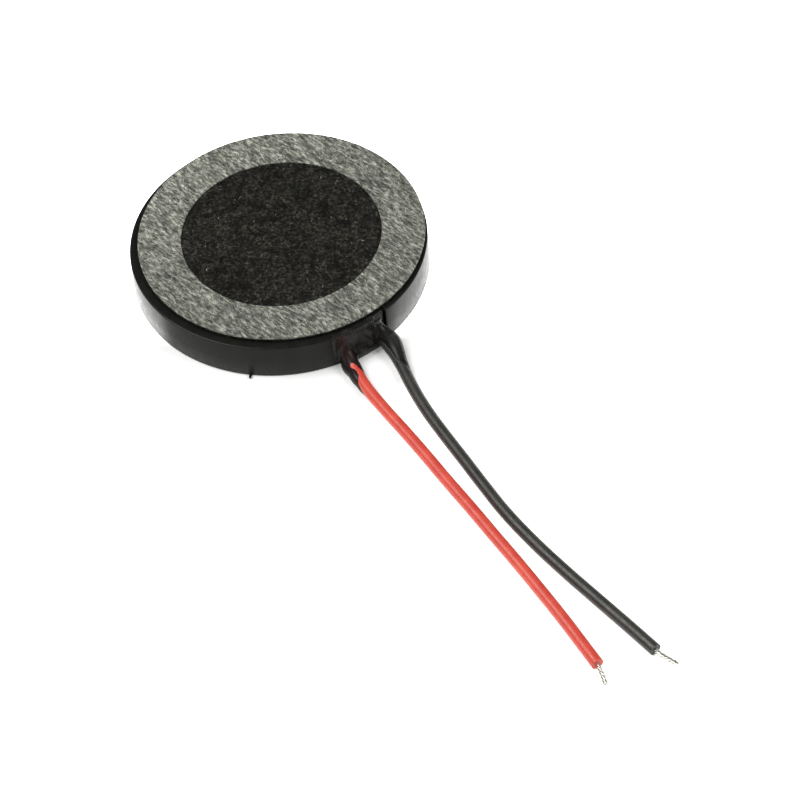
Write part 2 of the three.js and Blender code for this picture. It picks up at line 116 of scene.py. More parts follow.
floor_look.node_tree.links.new(floor_place.outputs["Object"], floor_turn.inputs["Vector"])
floor_look.node_tree.links.new(floor_turn.outputs["Vector"], floor_split.inputs["Vector"])
floor_look.node_tree.links.new(floor_split.outputs["Y"], floor_glow.inputs["Value"])
floor_reach = floor_look.node_tree.nodes.new("ShaderNodeVectorMath")
floor_reach.operation = "LENGTH"
floor_open = floor_look.node_tree.nodes.new("ShaderNodeMapRange")
floor_open.interpolation_type = "SMOOTHSTEP"
floor_open.inputs["From Min"].default_value = DIM_RADIUS
floor_open.inputs["From Max"].default_value = DIM_EDGE
floor_open.inputs["To Max"].default_value = 0.6
floor_most = floor_look.node_tree.nodes.new("ShaderNodeMath")
floor_most.operation = "MAXIMUM"
floor_look.node_tree.links.new(floor_place.outputs["Object"], floor_reach.inputs[0])
floor_look.node_tree.links.new(floor_reach.outputs["Value"], floor_open.inputs["Value"])
floor_look.node_tree.links.new(floor_glow.outputs["Result"], floor_most.inputs[0])
floor_look.node_tree.links.new(floor_open.outputs["Result"], floor_most.inputs[1])
floor_look.node_tree.links.new(floor_most.outputs["Value"], floor_shader.inputs["Emission Strength"])
floor_shader.inputs["Emission Color"].default_value = (1, 1, 0.985, 1)
floor.data.materials.append(floor_look)

tent = bpy.data.worlds.new("white tent")
tent.use_nodes = True
tent.node_tree.nodes["Background"].inputs["Color"].default_value = (1, 1, 0.985, 1)
tent.node_tree.nodes["Background"].inputs["Strength"].default_value = 0.22
bpy.context.scene.world = tent


def soft_light(name, place, size, watts):
    """A square soft box that faces the motor."""
    bpy.ops.object.light_add(type="AREA", location=place)
    light = bpy.context.object
    light.name = name
    light.data.size = size
    light.data.energy = watts
    light.rotation_euler = (-Vector(place)).to_track_quat("-Z", "Y").to_euler()


soft_light("upper_soft_box", (-0.28, 0.02, 0.48), 0.35, 2.7)
soft_light("right_soft_box", (0.35, -0.1, 0.35), 0.25, 1.1)


# ---- leads ---------------------------------------------------------------------------------------
# Stranded tinned wire in an extruded PVC sleeve, one red and one black. Each is soldered at the
# top of the pocket, comes down through the glue over the sill, and lies loose on the table.

LEAD_DIAMETER = 0.8 * MM
SLEEVE_SIDES = 24
SLEEVE_BORE = 0.21 * MM
SLEEVE_LIP = 0.05 * MM
BORE_DEPTH = 0.3 * MM
BORE_SINK = 0.03 * MM
BORE_SHIFT = 0.08 * MM
LINE_STEPS = 8

RED_ROUTE = [
    (3.76, -8.85, 2.1), (3.78, -8.89, 1.55), (3.89, -9.11, 1.12), (4.09, -9.48, 0.79),
    (4.3, -9.98, 0.56), (4.56, -10.65, 0.44), (4.88, -11.42, 0.4), (5.25, -12.25, 0.4),
    (6.22, -14.05, 0.4), (7.35, -16, 0.4), (8.52, -18.1, 0.4), (9.73, -20.35, 0.4),
    (10.98, -22.6, 0.4), (12.22, -24.9, 0.4), (13.5, -27.25, 0.4), (14.76, -29.65, 0.4),
    (15.98, -32.05, 0.4), (17.1, -34.4, 0.4), (17.65, -35.55, 0.4),
]
BLACK_ROUTE = [
    (6, -7.52, 2.1), (6.03, -7.57, 1.55), (6.18, -7.79, 1.13), (6.42, -8.14, 0.8),
    (6.72, -8.62, 0.58), (7.07, -9.24, 0.45), (7.35, -9.92, 0.4), (7.59, -10.65, 0.4),
    (8.09, -12.3, 0.4), (8.87, -14.4, 0.4), (9.83, -16.5, 0.4), (10.92, -18.75, 0.4),
    (12, -21, 0.4), (13.16, -23.3, 0.4), (14.62, -25.72, 0.4), (16.28, -28.15, 0.4),
    (18.08, -30.6, 0.4), (19.82, -32.95, 0.4), (21.2, -34.85, 0.4),
]


def in_metres(points):
    return [Vector(point) * MM for point in points]


def round_line(name, points, radius, sides, steps):
    """A round bar along a smooth line through the points, with closed ends, as a mesh. Returns
    the piece and the line that it follows."""
    curve = bpy.data.curves.new(name, "CURVE")
    curve.dimensions = "3D"
    spline = curve.splines.new("BEZIER")
    spline.bezier_points.add(len(points) - 1)
    for knot, point in zip(spline.bezier_points, points):
        knot.co = point
        knot.handle_left_type = "AUTO"
        knot.handle_right_type = "AUTO"
    curve.resolution_u = steps
    piece = bpy.data.objects.new(name, curve)
    bpy.context.collection.objects.link(piece)
    bpy.ops.object.select_all(action="DESELECT")
    piece.select_set(True)
    bpy.context.view_layer.objects.active = piece
    bare = bpy.data.meshes.new_from_object(piece)
    line = [vertex.co.copy() for vertex in bare.vertices]
    bpy.data.meshes.remove(bare)
    curve.bevel_depth = radius
    curve.bevel_resolution = sides // 2 - 2
    curve.use_fill_caps = True
    bpy.ops.object.convert(target="MESH")
    piece = bpy.context.object
    bpy.ops.object.mode_set(mode="EDIT")
    bpy.ops.mesh.select_all(action="SELECT")
    bpy.ops.mesh.remove_doubles(threshold=1e-7)
    bpy.ops.mesh.normals_make_consistent(inside=False)
    bpy.ops.object.mode_set(mode="OBJECT")
    bpy.ops.object.shade_smooth_by_angle(angle=math.radians(50))
    return piece, line


def select_faces(piece, wanted):
    """In edit mode, selects the faces for which wanted(face) is true, and nothing else."""
    bpy.ops.mesh.select_mode(type="FACE")
    bpy.ops.mesh.select_all(action="DESELECT")
    shape = bmesh.from_edit_mesh(piece.data)
    for face in shape.faces:
        face.select_set(wanted(face))
    bmesh.update_edit_mesh(piece.data)


def finish_piece(piece, name, look, slot, body, *nodes):
    """Names a finished piece, paints it, and lets it ride on its body in place of its solids."""
    piece.name = name
    piece.data.name = name
    piece.data.materials.clear()
    piece.data.materials.append(look)
    if body:
        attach(piece, body)
    if nodes:
        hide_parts(*nodes)
    return piece


def new_look(name, colour, roughness, **sockets):
    """A material with one shader. Returns the material and its shader."""
    look = bpy.data.materials.new(name)
    look.use_nodes = True
    shader = look.node_tree.nodes["Principled BSDF"]
    shader.inputs["Base Color"].default_value = (*colour, 1)
    shader.inputs["Roughness"].default_value = roughness
    for socket, value in sockets.items():
        shader.inputs[socket.replace("_", " ")].default_value = value
    return look, shader


def grain(look, per_metre, stretch=(1, 1, 1), turn=0.0, detail=4.0, rough=0.55):
    """Noise on the piece's own coordinates: so many grains per metre, longer where stretch is
    small, turned about Z. Returns the socket with its value."""
    nodes = look.node_tree.nodes
    links = look.node_tree.links
    place = nodes.new("ShaderNodeTexCoord")
    mapping = nodes.new("ShaderNodeMapping")
    mapping.vector_type = "TEXTURE"
    mapping.inputs["Rotation"].default_value = (0, 0, turn)
    mapping.inputs["Scale"].default_value = [1 / factor for factor in stretch]
    noise = nodes.new("ShaderNodeTexNoise")
    noise.inputs["Scale"].default_value = per_metre
    noise.inputs["Detail"].default_value = detail
    noise.inputs["Roughness"].default_value = rough
    links.new(place.outputs["Object"], mapping.inputs["Vector"])
    links.new(mapping.outputs["Vector"], noise.inputs["Vector"])
    return noise.outputs["Fac"]


def between(look, value, stops):
    """A colour ramp over a value. Stops are (place, colour or grey level)."""
    ramp = look.node_tree.nodes.new("ShaderNodeValToRGB")
    ramp.color_ramp.elements.remove(ramp.color_ramp.elements[1])
    for index, (place, colour) in enumerate(stops):
        stop = ramp.color_ramp.elements[0] if index == 0 else ramp.color_ramp.elements.new(place)
        stop.position = place
        stop.color = (*colour, 1) if isinstance(colour, tuple) else (colour, colour, colour, 1)
    look.node_tree.links.new(value, ramp.inputs["Fac"])
    return ramp.outputs["Color"]


def blended(look, first, second, kind="MULTIPLY", share=1.0):
    """Two colours mixed. Each is a socket or a fixed colour."""
    mix = look.node_tree.nodes.new("ShaderNodeMix")
    mix.data_type = "RGBA"
    mix.blend_type = kind
    if isinstance(share, float):
        mix.inputs["Factor"].default_value = share
    else:
        look.node_tree.links.new(share, mix.inputs["Factor"])
    for socket, colour in (("A", first), ("B", second)):
        target = [s for s in mix.inputs if s.name == socket and s.type == "RGBA"][0]
        if isinstance(colour, tuple):
            target.default_value = (*colour, 1)
        else:
            look.node_tree.links.new(colour, target)
    return [s for s in mix.outputs if s.type == "RGBA"][0]


def paint(look, shader, colour, socket="Base Color"):
    look.node_tree.links.new(colour, shader.inputs[socket])


def mottle(look, shader, value, stops, socket="Base Color"):
    """Colours the material, or sets another socket of it, by a ramp over a value."""
    paint(look, shader, between(look, value, stops), socket)


def relief(look, shader, heights):
    """Bumps stacked on each other. Heights are (value, metres)."""
    below = None
    for value, depth in heights:
        bump = look.node_tree.nodes.new("ShaderNodeBump")
        bump.inputs["Distance"].default_value = depth
        look.node_tree.links.new(value, bump.inputs["Height"])
        if below:
            look.node_tree.links.new(below, bump.inputs["Normal"])
        below = bump.outputs["Normal"]
    look.node_tree.links.new(below, shader.inputs["Normal"])


def sleeve_look(name, pale, deep, roughness, speck_tone):
    """Extruded PVC: slightly uneven colour with random darker specks, a finely pitted surface and a
    soft shine.
    """
    look, shader = new_look(name, pale, roughness, IOR=1.53)
    cloudy = between(look, grain(look, 900), [(0.35, deep), (0.68, pale)])
    # Darker specks scattered at random through the colour.
    dark_specks = between(look, grain(look, 9000, detail=2.0), [(0.3, speck_tone), (0.55, 1.0)])
    paint(look, shader, blended(look, cloudy, dark_specks))
    relief(look, shader, [(grain(look, 2200), 0.006 * MM), (grain(look, 12000), 0.0015 * MM)])
    worn = [(0.3, roughness - 0.08), (0.7, roughness + 0.1)]
    mottle(look, shader, grain(look, 3500), worn, "Roughness")
    return look


RED_PVC = sleeve_look("red PVC", (0.72, 0.085, 0.05), (0.6, 0.055, 0.033), 0.38, 0.86)
BLACK_PVC = sleeve_look("black PVC", (0.036, 0.036, 0.03), (0.018, 0.018, 0.015), 0.42, 0.6)


def make_lead(name, route, look, slot, node):
    """The sleeve: a round line whose far end is cut square, with rounded lips round its bore."""
    piece, line = round_line(name, in_metres(route), LEAD_DIAMETER / 2, SLEEVE_SIDES, LINE_STEPS)
    end = line[-1]
    ahead = (line[-1] - line[-2]).normalized()
    sideways = ahead.cross(Vector((0, 0, 1)))

    def on_cut_end(face):
        return len(face.verts) > 4 and (face.calc_center_median() - end).length < LEAD_DIAMETER / 8

    bpy.ops.object.mode_set(mode="EDIT")
    select_faces(piece, on_cut_end)
    bpy.ops.mesh.bevel(offset=SLEEVE_LIP, segments=3, affect="EDGES")
    select_faces(piece, on_cut_end)
    bpy.ops.mesh.inset(thickness=LEAD_DIAMETER / 2 - SLEEVE_LIP - SLEEVE_BORE)
    bpy.ops.transform.translate(value=sideways * BORE_SHIFT - ahead * BORE_SINK)
    bpy.ops.mesh.extrude_region_move(TRANSFORM_OT_translate={"value": -ahead * BORE_DEPTH})
    bpy.ops.object.mode_set(mode="OBJECT")
    bpy.ops.object.shade_smooth_by_angle(angle=math.radians(50))
    finish_piece(piece, name, look, slot, "case", node)
    return piece, line


red_lead, red_line = make_lead(
    "lead_sleeve_red", RED_ROUTE, RED_PVC, "red_pvc", "lead_red",
)
black_lead, black_line = make_lead(
    "lead_sleeve_black", BLACK_ROUTE, BLACK_PVC, "black_pvc", "lead_black",
)


def line_length(line):
    return sum((after - before).length for before, after in zip(line, line[1:]))


# ---- stripped ends -------------------------------------------------------------------------------
# Where the sleeve is cut back, seven tinned strands come out of its bore twisted together, bent
# down to the table. They are cut off square and open a little at the tip.

STRAND_RADIUS = 0.05 * MM
STRAND_SIDES = 10
STRAND_COUNT = 6
STRAND_TWIST = 2 * math.pi / (1.7 * MM)

TINNED, tinned_shader = new_look("tinned strands", (0.78, 0.77, 0.7), 0.24, Metallic=1.0)
tin_shades = [(0.35, (0.52, 0.5, 0.42)), (0.6, (0.86, 0.85, 0.79))]
mottle(TINNED, tinned_shader, grain(TINNED, 5000), tin_shades)
relief(TINNED, tinned_shader, [(grain(TINNED, 14000), 0.002 * MM)])


def twisted_strands(name, points, body, nodes, flare=0.35):
    """Six strands laid round a middle one along a short line, joined as one piece."""
    middle, line = round_line(name, points, STRAND_RADIUS, STRAND_SIDES, 10)
    strands = [middle]
    length = line_length(line)
    for number in range(STRAND_COUNT):
        laid = []
        travelled = 0.0
        for index, point in enumerate(line):
            if index:
                travelled += (point - line[index - 1]).length
            ahead = (line[min(index + 1, len(line) - 1)] - line[max(index - 1, 0)]).normalized()
            across = ahead.cross(Vector((0, 0, 1))).normalized()
            over = across.cross(ahead)
            angle = 2 * math.pi * number / STRAND_COUNT + STRAND_TWIST * travelled
            reach = STRAND_RADIUS * (2 + flare * (travelled / length) ** 3)
            laid.append(point + reach * (across * math.cos(angle) + over * math.sin(angle)))
        strand, _ = round_line(f"{name}_{number}", laid[::2], STRAND_RADIUS, STRAND_SIDES, 3)
        strands.append(strand)
    bpy.ops.object.select_all(action="DESELECT")
    for strand in strands:
        strand.select_set(True)
    bpy.context.view_layer.objects.active = middle
    bpy.ops.object.join()
    return finish_piece(middle, name, TINNED, "tinned_strands", body, *nodes)


RED_TIP = [(17.52, -35.32, 0.36), (17.66, -35.57, 0.33), (17.84, -36.2, 0.25), (17.98, -36.9, 0.18)]
BLACK_TIP = [(21.06, -34.62, 0.38), (21.22, -34.87, 0.35), (21.78, -35.4, 0.26), (22.42, -35.88, 0.18)]
red_tip = twisted_strands("strand_tip_red", in_metres(RED_TIP), "case", ["tip_red"])
black_tip = twisted_strands("strand_tip_black", in_metres(BLACK_TIP), "case", ["tip_black"])


# ---- housing -------------------------------------------------------------------------------------
# The frame of the motor: one ring moulded in black engineering plastic, stepped inside for the
# springs and the film, with the lead pocket in its wall and the gate scar on its lower edge.

HOUSING_RADIUS = 10 * MM
HOUSING_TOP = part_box("housing")[1].z
HOUSING_SIDES = 240
SEAT_RADIUS = 8.45 * MM
BORE_RADIUS = 8 * MM
FRONT_RADIUS = 8.85 * MM
REAR_STEP = 0.52 * MM
SPRING_STEP = 1.5 * MM
FILM_STEP = 1.88 * MM
POCKET_AZIMUTH = math.radians(-59.2)
POCKET_HALF_WIDTH = 2.02 * MM
POCKET_FLOOR = 9.1 * MM
POCKET_SILL = 0.25 * MM
SLOT_HALF_WIDTH = 0.5 * MM
SLOT_LOW = 1.7 * MM
SLOT_HIGH = 1.9 * MM
GATE_AZIMUTH = math.radians(-103.6)
GATE_SIZE = 0.15 * MM


def turned(name, outline, sides=HOUSING_SIDES, closed=True):
    """A turned piece: one circle, pulled and scaled from corner to corner of its outline of
    (radius, height). A corner on the axis closes the piece there."""
    corners = [*outline, outline[0]] if closed else list(outline)
    radius, height = corners[0]
    bpy.ops.object.select_all(action="DESELECT")
    bpy.ops.mesh.primitive_circle_add(vertices=sides, radius=radius, location=(0, 0, height))
    piece = bpy.context.object
    piece.name = name
    bpy.ops.object.transform_apply(location=True, rotation=True, scale=True)
    bpy.ops.object.mode_set(mode="EDIT")
    bpy.ops.mesh.select_mode(type="EDGE")
    bpy.ops.mesh.select_all(action="SELECT")
    for next_radius, next_height in corners[1:]:
        rise = (0, 0, next_height - height)
        bpy.ops.mesh.extrude_region_move(TRANSFORM_OT_translate={"value": rise})
        wider = next_radius / radius
        bpy.ops.transform.resize(value=(wider, wider, 1), center_override=(0, 0, next_height))
        radius, height = next_radius, next_height
    bpy.ops.mesh.select_all(action="SELECT")
    bpy.ops.mesh.remove_doubles(threshold=2e-7)
    bpy.ops.mesh.normals_make_consistent(inside=False)
    bpy.ops.object.mode_set(mode="OBJECT")
    return piece


def soften(piece, width, segments=2, angle=40):
    """Breaks the sharp edges of a piece and smooths the rest of it."""
    bpy.ops.object.select_all(action="DESELECT")
    piece.select_set(True)
    bpy.context.view_layer.objects.active = piece
    edge = piece.modifiers.new("broken_edges", "BEVEL")
    edge.width = width
    edge.segments = segments
    edge.limit_method = "ANGLE"
    edge.angle_limit = math.radians(angle)
    bpy.ops.object.modifier_apply(modifier=edge.name)
    bpy.ops.object.shade_smooth_by_angle(angle=math.radians(35))


def cut(piece, tool, operation="DIFFERENCE"):
    """Cuts a piece with a tool, or joins the tool to it, and clears the tool away."""
    bpy.ops.object.select_all(action="DESELECT")
    piece.select_set(True)
    bpy.context.view_layer.objects.active = piece
    change = piece.modifiers.new("cut", "BOOLEAN")
    change.operation = operation
    change.solver = "EXACT"
    change.object = tool
    bpy.ops.object.modifier_apply(modifier=change.name)
    bpy.data.objects.remove(tool)


def block(low, high, azimuth=0.0):
    """A box from corner to corner, in directions turned about the axis by the azimuth."""
    low, high = Vector(low), Vector(high)
    bpy.ops.object.select_all(action="DESELECT")
    bpy.ops.mesh.primitive_cube_add(size=1, location=(low + high) / 2)
    box = bpy.context.object
    box.scale = high - low
    bpy.ops.object.transform_apply(location=True, rotation=True, scale=True)
    box.data.transform(Matrix.Rotation(azimuth, 4, "Z"))
    return box


MOULDED, moulded_shader = new_look(
    "moulded plastic", (0.01, 0.01, 0.009), 0.3, IOR=1.5, Specular_IOR_Level=0.16,
)
flow_marks = grain(MOULDED, 700, stretch=(1, 1, 0.35))
moulded_shades = [(0.3, (0.004, 0.004, 0.0032)), (0.7, (0.008, 0.008, 0.0065))]
mottle(MOULDED, moulded_shader, flow_marks, moulded_shades)
mottle(MOULDED, moulded_shader, grain(MOULDED, 2600), [(0.3, 0.26), (0.7, 0.4)], "Roughness")
relief(MOULDED, moulded_shader, [
    (grain(MOULDED, 420, detail=2.0), 0.004 * MM), (grain(MOULDED, 11000), 0.0012 * MM),
])

housing = turned("housing_moulding", [
    (SEAT_RADIUS, 0), (HOUSING_RADIUS - 0.1 * MM, 0), (HOUSING_RADIUS - 0.035 * MM, 0.025 * MM),
    (HOUSING_RADIUS, 0.09 * MM), (HOUSING_RADIUS - 0.015 * MM, 1.3 * MM),
    (HOUSING_RADIUS - 0.03 * MM, HOUSING_TOP - 0.12 * MM),
    (HOUSING_RADIUS - 0.045 * MM, HOUSING_TOP - 0.05 * MM),
    (HOUSING_RADIUS - 0.09 * MM, HOUSING_TOP - 0.015 * MM),
    (HOUSING_RADIUS - 0.15 * MM, HOUSING_TOP), (FRONT_RADIUS, HOUSING_TOP),
    (FRONT_RADIUS, FILM_STEP), (SEAT_RADIUS, FILM_STEP), (SEAT_RADIUS, SPRING_STEP),
    (BORE_RADIUS, SPRING_STEP), (BORE_RADIUS, REAR_STEP), (SEAT_RADIUS, REAR_STEP),
])
bpy.ops.mesh.primitive_uv_sphere_add(segments=24, ring_count=12, radius=GATE_SIZE)
gate = bpy.context.object
gate.data.transform(Matrix.Diagonal((1.8, 0.65, 0.5, 1)))
gate.data.transform(Matrix.Translation((HOUSING_RADIUS + 0.1 * MM, 0, 0.1 * MM)))
gate.data.transform(Matrix.Rotation(GATE_AZIMUTH, 4, "Z"))
cut(housing, gate, "UNION")
pocket = block(
    (POCKET_FLOOR, -POCKET_HALF_WIDTH, POCKET_SILL),
    (HOUSING_RADIUS + 1 * MM, POCKET_HALF_WIDTH, 3 * MM), POCKET_AZIMUTH,
)
cut(housing, pocket)
wire_slot = block(
    (SEAT_RADIUS - 0.25 * MM, -SLOT_HALF_WIDTH, SLOT_LOW),
    (POCKET_FLOOR + 0.2 * MM, SLOT_HALF_WIDTH, SLOT_HIGH), POCKET_AZIMUTH,
)
cut(housing, wire_slot)
soften(housing, 0.02 * MM)
finish_piece(housing, "housing_moulding", MOULDED, "moulded_plastic", "case", "housing")


# ---- front cloth ---------------------------------------------------------------------------------
# Black non-woven dust cloth, punched out as a disc and stuck over the front cover a little off
# the motor's axis. Its cut edge is slightly rough and stands just proud of the moulded lip.

CLOTH_LOW, CLOTH_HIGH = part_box("front_cloth")
CLOTH_CENTRE = (CLOTH_LOW + CLOTH_HIGH) / 2
CLOTH_RADIUS = (CLOTH_HIGH.x - CLOTH_LOW.x) / 2
CLOTH_MIDDLE = 0.05 * MM
CLOTH_RINGS = 34

CLOTH, cloth_shader = new_look(
    "non-woven cloth", (0.012, 0.012, 0.01), 0.92, IOR=1.45, Specular_IOR_Level=0.15,
)
cloth_fibres = between(CLOTH, grain(CLOTH, 6000, detail=8.0, rough=0.78), [
    (0.38, (0.002, 0.0019, 0.0015)), (0.5, (0.013, 0.0125, 0.01)), (0.63, (0.1, 0.097, 0.08)),
])
cloth_patches = between(CLOTH, grain(CLOTH, 1300, detail=6.0, rough=0.65), [(0.38, 0.25), (0.62, 1.0)])
paint(CLOTH, cloth_shader, blended(CLOTH, cloth_fibres, cloth_patches))
relief(CLOTH, cloth_shader, [
    (grain(CLOTH, 1500, detail=3.0), 0.03 * MM), (grain(CLOTH, 9000, detail=5.0), 0.012 * MM),
])


def roughen(piece, size, depth):
    """Pushes the surface in and out by a soft cloud pattern of the given size and depth."""
    clouds = bpy.data.textures.new(piece.name + "_clouds", "CLOUDS")
    clouds.noise_scale = size
    clouds.noise_depth = 3
    bpy.ops.object.select_all(action="DESELECT")
    piece.select_set(True)
    bpy.context.view_layer.objects.active = piece
    push = piece.modifiers.new("clouds", "DISPLACE")
    push.texture = clouds
    push.texture_coords = "LOCAL"
    push.strength = depth
    push.mid_level = 0.5
    bpy.ops.object.modifier_apply(modifier=push.name)


def spread(inner, outer, count):
    """Radii from inner to outer in equal steps."""
    return [inner + (outer - inner) * index / count for index in range(count + 1)]


def capped(piece):
    """Closes the open circles of a turned piece with flat faces."""
    bpy.ops.object.select_all(action="DESELECT")
    piece.select_set(True)
    bpy.context.view_layer.objects.active = piece
    bpy.ops.object.mode_set(mode="EDIT")
    bpy.ops.mesh.select_mode(type="EDGE")
    bpy.ops.mesh.select_all(action="DESELECT")
    bpy.ops.mesh.select_non_manifold()
    bpy.ops.mesh.edge_face_add()
    bpy.ops.mesh.select_all(action="SELECT")
    bpy.ops.mesh.normals_make_consistent(inside=False)
    bpy.ops.object.mode_set(mode="OBJECT")
    return piece


cloth_top = CLOTH_HIGH.z - 0.012 * MM
cloth_bottom = CLOTH_LOW.z + 0.006 * MM
cloth = capped(turned("front_cloth_disc", [
    *[(radius, cloth_top) for radius in spread(CLOTH_MIDDLE, CLOTH_RADIUS - 0.06 * MM, CLOTH_RINGS)],
    (CLOTH_RADIUS - 0.012 * MM, cloth_top - 0.02 * MM), (CLOTH_RADIUS, cloth_top - 0.07 * MM),
    (CLOTH_RADIUS, cloth_bottom + 0.04 * MM), (CLOTH_RADIUS - 0.03 * MM, cloth_bottom),
    *[(radius, cloth_bottom) for radius in spread(CLOTH_RADIUS - 0.5 * MM, CLOTH_MIDDLE, 4)],
], closed=False))
cloth.data.transform(Matrix.Translation((CLOTH_CENTRE.x, CLOTH_CENTRE.y, 0)))
roughen(cloth, 0.5 * MM, 0.022 * MM)
bpy.ops.object.shade_smooth()
finish_piece(cloth, "front_cloth_disc", CLOTH, "face_cloth", "case", "front_cloth")


# ---- adhesive ring -------------------------------------------------------------------------------
# Double-sided tape on a grey tissue, punched as a ring on the cloth. The tissue is a mat of pale
# fibres that lie mostly one way, pressed flat, with a few long ones that curl.

RING_LOW, RING_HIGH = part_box("adhesive_ring")
RING_CENTRE = (RING_LOW + RING_HIGH) / 2
RING_OUTER = (RING_HIGH.x - RING_LOW.x) / 2
RING_INNER = 6.72 * MM
FIBRE_LIE = -0.87

TISSUE, tissue_shader = new_look("adhesive tissue", (0.21, 0.215, 0.185), 0.7, IOR=1.47)
streaks = grain(TISSUE, 5200, stretch=(0.34, 1, 1), turn=FIBRE_LIE, detail=7.0, rough=0.78)
bands = grain(TISSUE, 1700, stretch=(0.33, 1, 1), turn=FIBRE_LIE, detail=6.0, rough=0.66)
tissue_fibres = between(TISSUE, streaks, [
    (0.38, (0.035, 0.037, 0.027)), (0.5, (0.2, 0.206, 0.168)), (0.61, (0.7, 0.71, 0.61)),
])
tissue_patches = between(TISSUE, bands, [(0.36, 0.34), (0.5, 0.75), (0.62, 1.0)])
# The tissue's colour is made paler towards the left and the far side, and darker towards the front and
# right, by a ramp over its coordinates.
tissue_place = TISSUE.node_tree.nodes.new("ShaderNodeTexCoord")
tissue_side_slope = TISSUE.node_tree.nodes.new("ShaderNodeVectorMath")
tissue_side_slope.operation = "DOT_PRODUCT"
tissue_side_slope.inputs[1].default_value = (-30, 40, 0)
TISSUE.node_tree.links.new(tissue_place.outputs["Object"], tissue_side_slope.inputs[0])
tissue_side_ramp = between(TISSUE, tissue_side_slope.outputs["Value"], [(0.0, 0.78), (0.35, 1.0)])
tissue_mat = blended(TISSUE, tissue_fibres, tissue_patches)
paint(TISSUE, tissue_shader, blended(TISSUE, tissue_mat, tissue_side_ramp))
relief(TISSUE, tissue_shader, [(bands, 0.05 * MM), (streaks, 0.03 * MM)])

tissue_top = RING_HIGH.z - 0.035 * MM
tissue_bottom = RING_LOW.z + 0.004 * MM
tissue = turned("adhesive_tissue", [
    (RING_INNER, tissue_bottom),
    (RING_INNER, tissue_top - 0.02 * MM),
    *[(radius, tissue_top) for radius in spread(RING_INNER + 0.03 * MM, RING_OUTER - 0.03 * MM, 26)],
    (RING_OUTER, tissue_top - 0.03 * MM),
    (RING_OUTER, tissue_bottom),
    (RING_OUTER - 0.6 * MM, tissue_bottom),
    (RING_INNER + 0.6 * MM, tissue_bottom),
])
tissue.data.transform(Matrix.Translation((RING_CENTRE.x, RING_CENTRE.y, 0)))
roughen(tissue, 0.35 * MM, 0.028 * MM)
bpy.ops.object.shade_smooth_by_angle(angle=math.radians(50))
finish_piece(tissue, "adhesive_tissue", TISSUE, "adhesive_tissue", "case", "adhesive_ring")


def fibre_mat(name, count, inner, outer, centre, height, length, thickness, lie, scatter, curl, seed):
    """Loose fibres lying on a ring: each one starts somewhere on it, runs its length about one
    way, and bends a little on its way. They are joined as one piece."""
    draw = random.Random(seed)
    curve = bpy.data.curves.new(name, "CURVE")
    curve.dimensions = "3D"
    curve.bevel_depth = thickness / 2
    curve.bevel_resolution = 0
    for _ in range(count):
        radius = math.sqrt(draw.uniform(inner ** 2, outer ** 2))
        around = draw.uniform(0, 2 * math.pi)
        place = Vector((radius * math.cos(around), radius * math.sin(around), 0))
        heading = lie + draw.gauss(0, scatter)
        bend = draw.gauss(0, curl)
        step = length * draw.uniform(0.4, 1.4) / 4
        level = height + draw.uniform(-0.6, 0.5) * thickness
        line = []
        for index in range(5):
            if not inner < place.length < outer:
                break
            wave = draw.uniform(-0.2, 0.2) * thickness
            line.append((place.x + centre.x, place.y + centre.y, level + wave))
            heading += bend / 4
            place = place + Vector((math.cos(heading), math.sin(heading), 0)) * step
        if len(line) < 2:
            continue
        spline = curve.splines.new("POLY")
        spline.points.add(len(line) - 1)
        for number, (point, where) in enumerate(zip(spline.points, line)):
            point.co = (*where, 1)
            point.radius = 0.45 if number in (0, len(line) - 1) else 1.0
    piece = bpy.data.objects.new(name, curve)
    bpy.context.collection.objects.link(piece)
    bpy.ops.object.select_all(action="DESELECT")
    piece.select_set(True)
    bpy.context.view_layer.objects.active = piece
    curve.use_fill_caps = True
    bpy.ops.object.convert(target="MESH")
    piece = bpy.context.object
    bpy.ops.object.shade_smooth()
    return piece


PALE_FIBRE, pale_shader = new_look("pale tissue fibre", (0.4, 0.41, 0.36), 0.5, IOR=1.47)
pale_grain = grain(PALE_FIBRE, 3000, stretch=(0.6, 1, 1), turn=FIBRE_LIE, detail=4.0, rough=0.65)
pale_patches = between(PALE_FIBRE, pale_grain, [
    (0.4, (0.06, 0.063, 0.048)), (0.52, (0.27, 0.28, 0.23)), (0.64, (0.72, 0.73, 0.64)),
])
pale_weight = between(PALE_FIBRE, grain(PALE_FIBRE, 300, detail=2.0), [(0.35, 0.75), (0.65, 1.0)])
paint(PALE_FIBRE, pale_shader, blended(PALE_FIBRE, pale_patches, pale_weight))
relief(PALE_FIBRE, pale_shader, [(grain(PALE_FIBRE, 16000), 0.003 * MM)])

pressed = fibre_mat(
    "tissue_fibres", 2400, RING_INNER, RING_OUTER, RING_CENTRE, height=tissue_top + 0.004 * MM,
    length=0.75 * MM, thickness=0.03 * MM, lie=FIBRE_LIE, scatter=0.4, curl=0.25, seed=11,
)
finish_piece(pressed, "tissue_fibres", PALE_FIBRE, "adhesive_tissue", "case")
curled = fibre_mat(
    "long_tissue_fibres", 22, RING_INNER, RING_OUTER - 0.05 * MM, RING_CENTRE,
    height=tissue_top + 0.022 * MM, length=1.8 * MM, thickness=0.028 * MM,
    lie=-1.1, scatter=0.7, curl=1.0, seed=23,
)
finish_piece(curled, "long_tissue_fibres", PALE_FIBRE, "adhesive_tissue", "case")

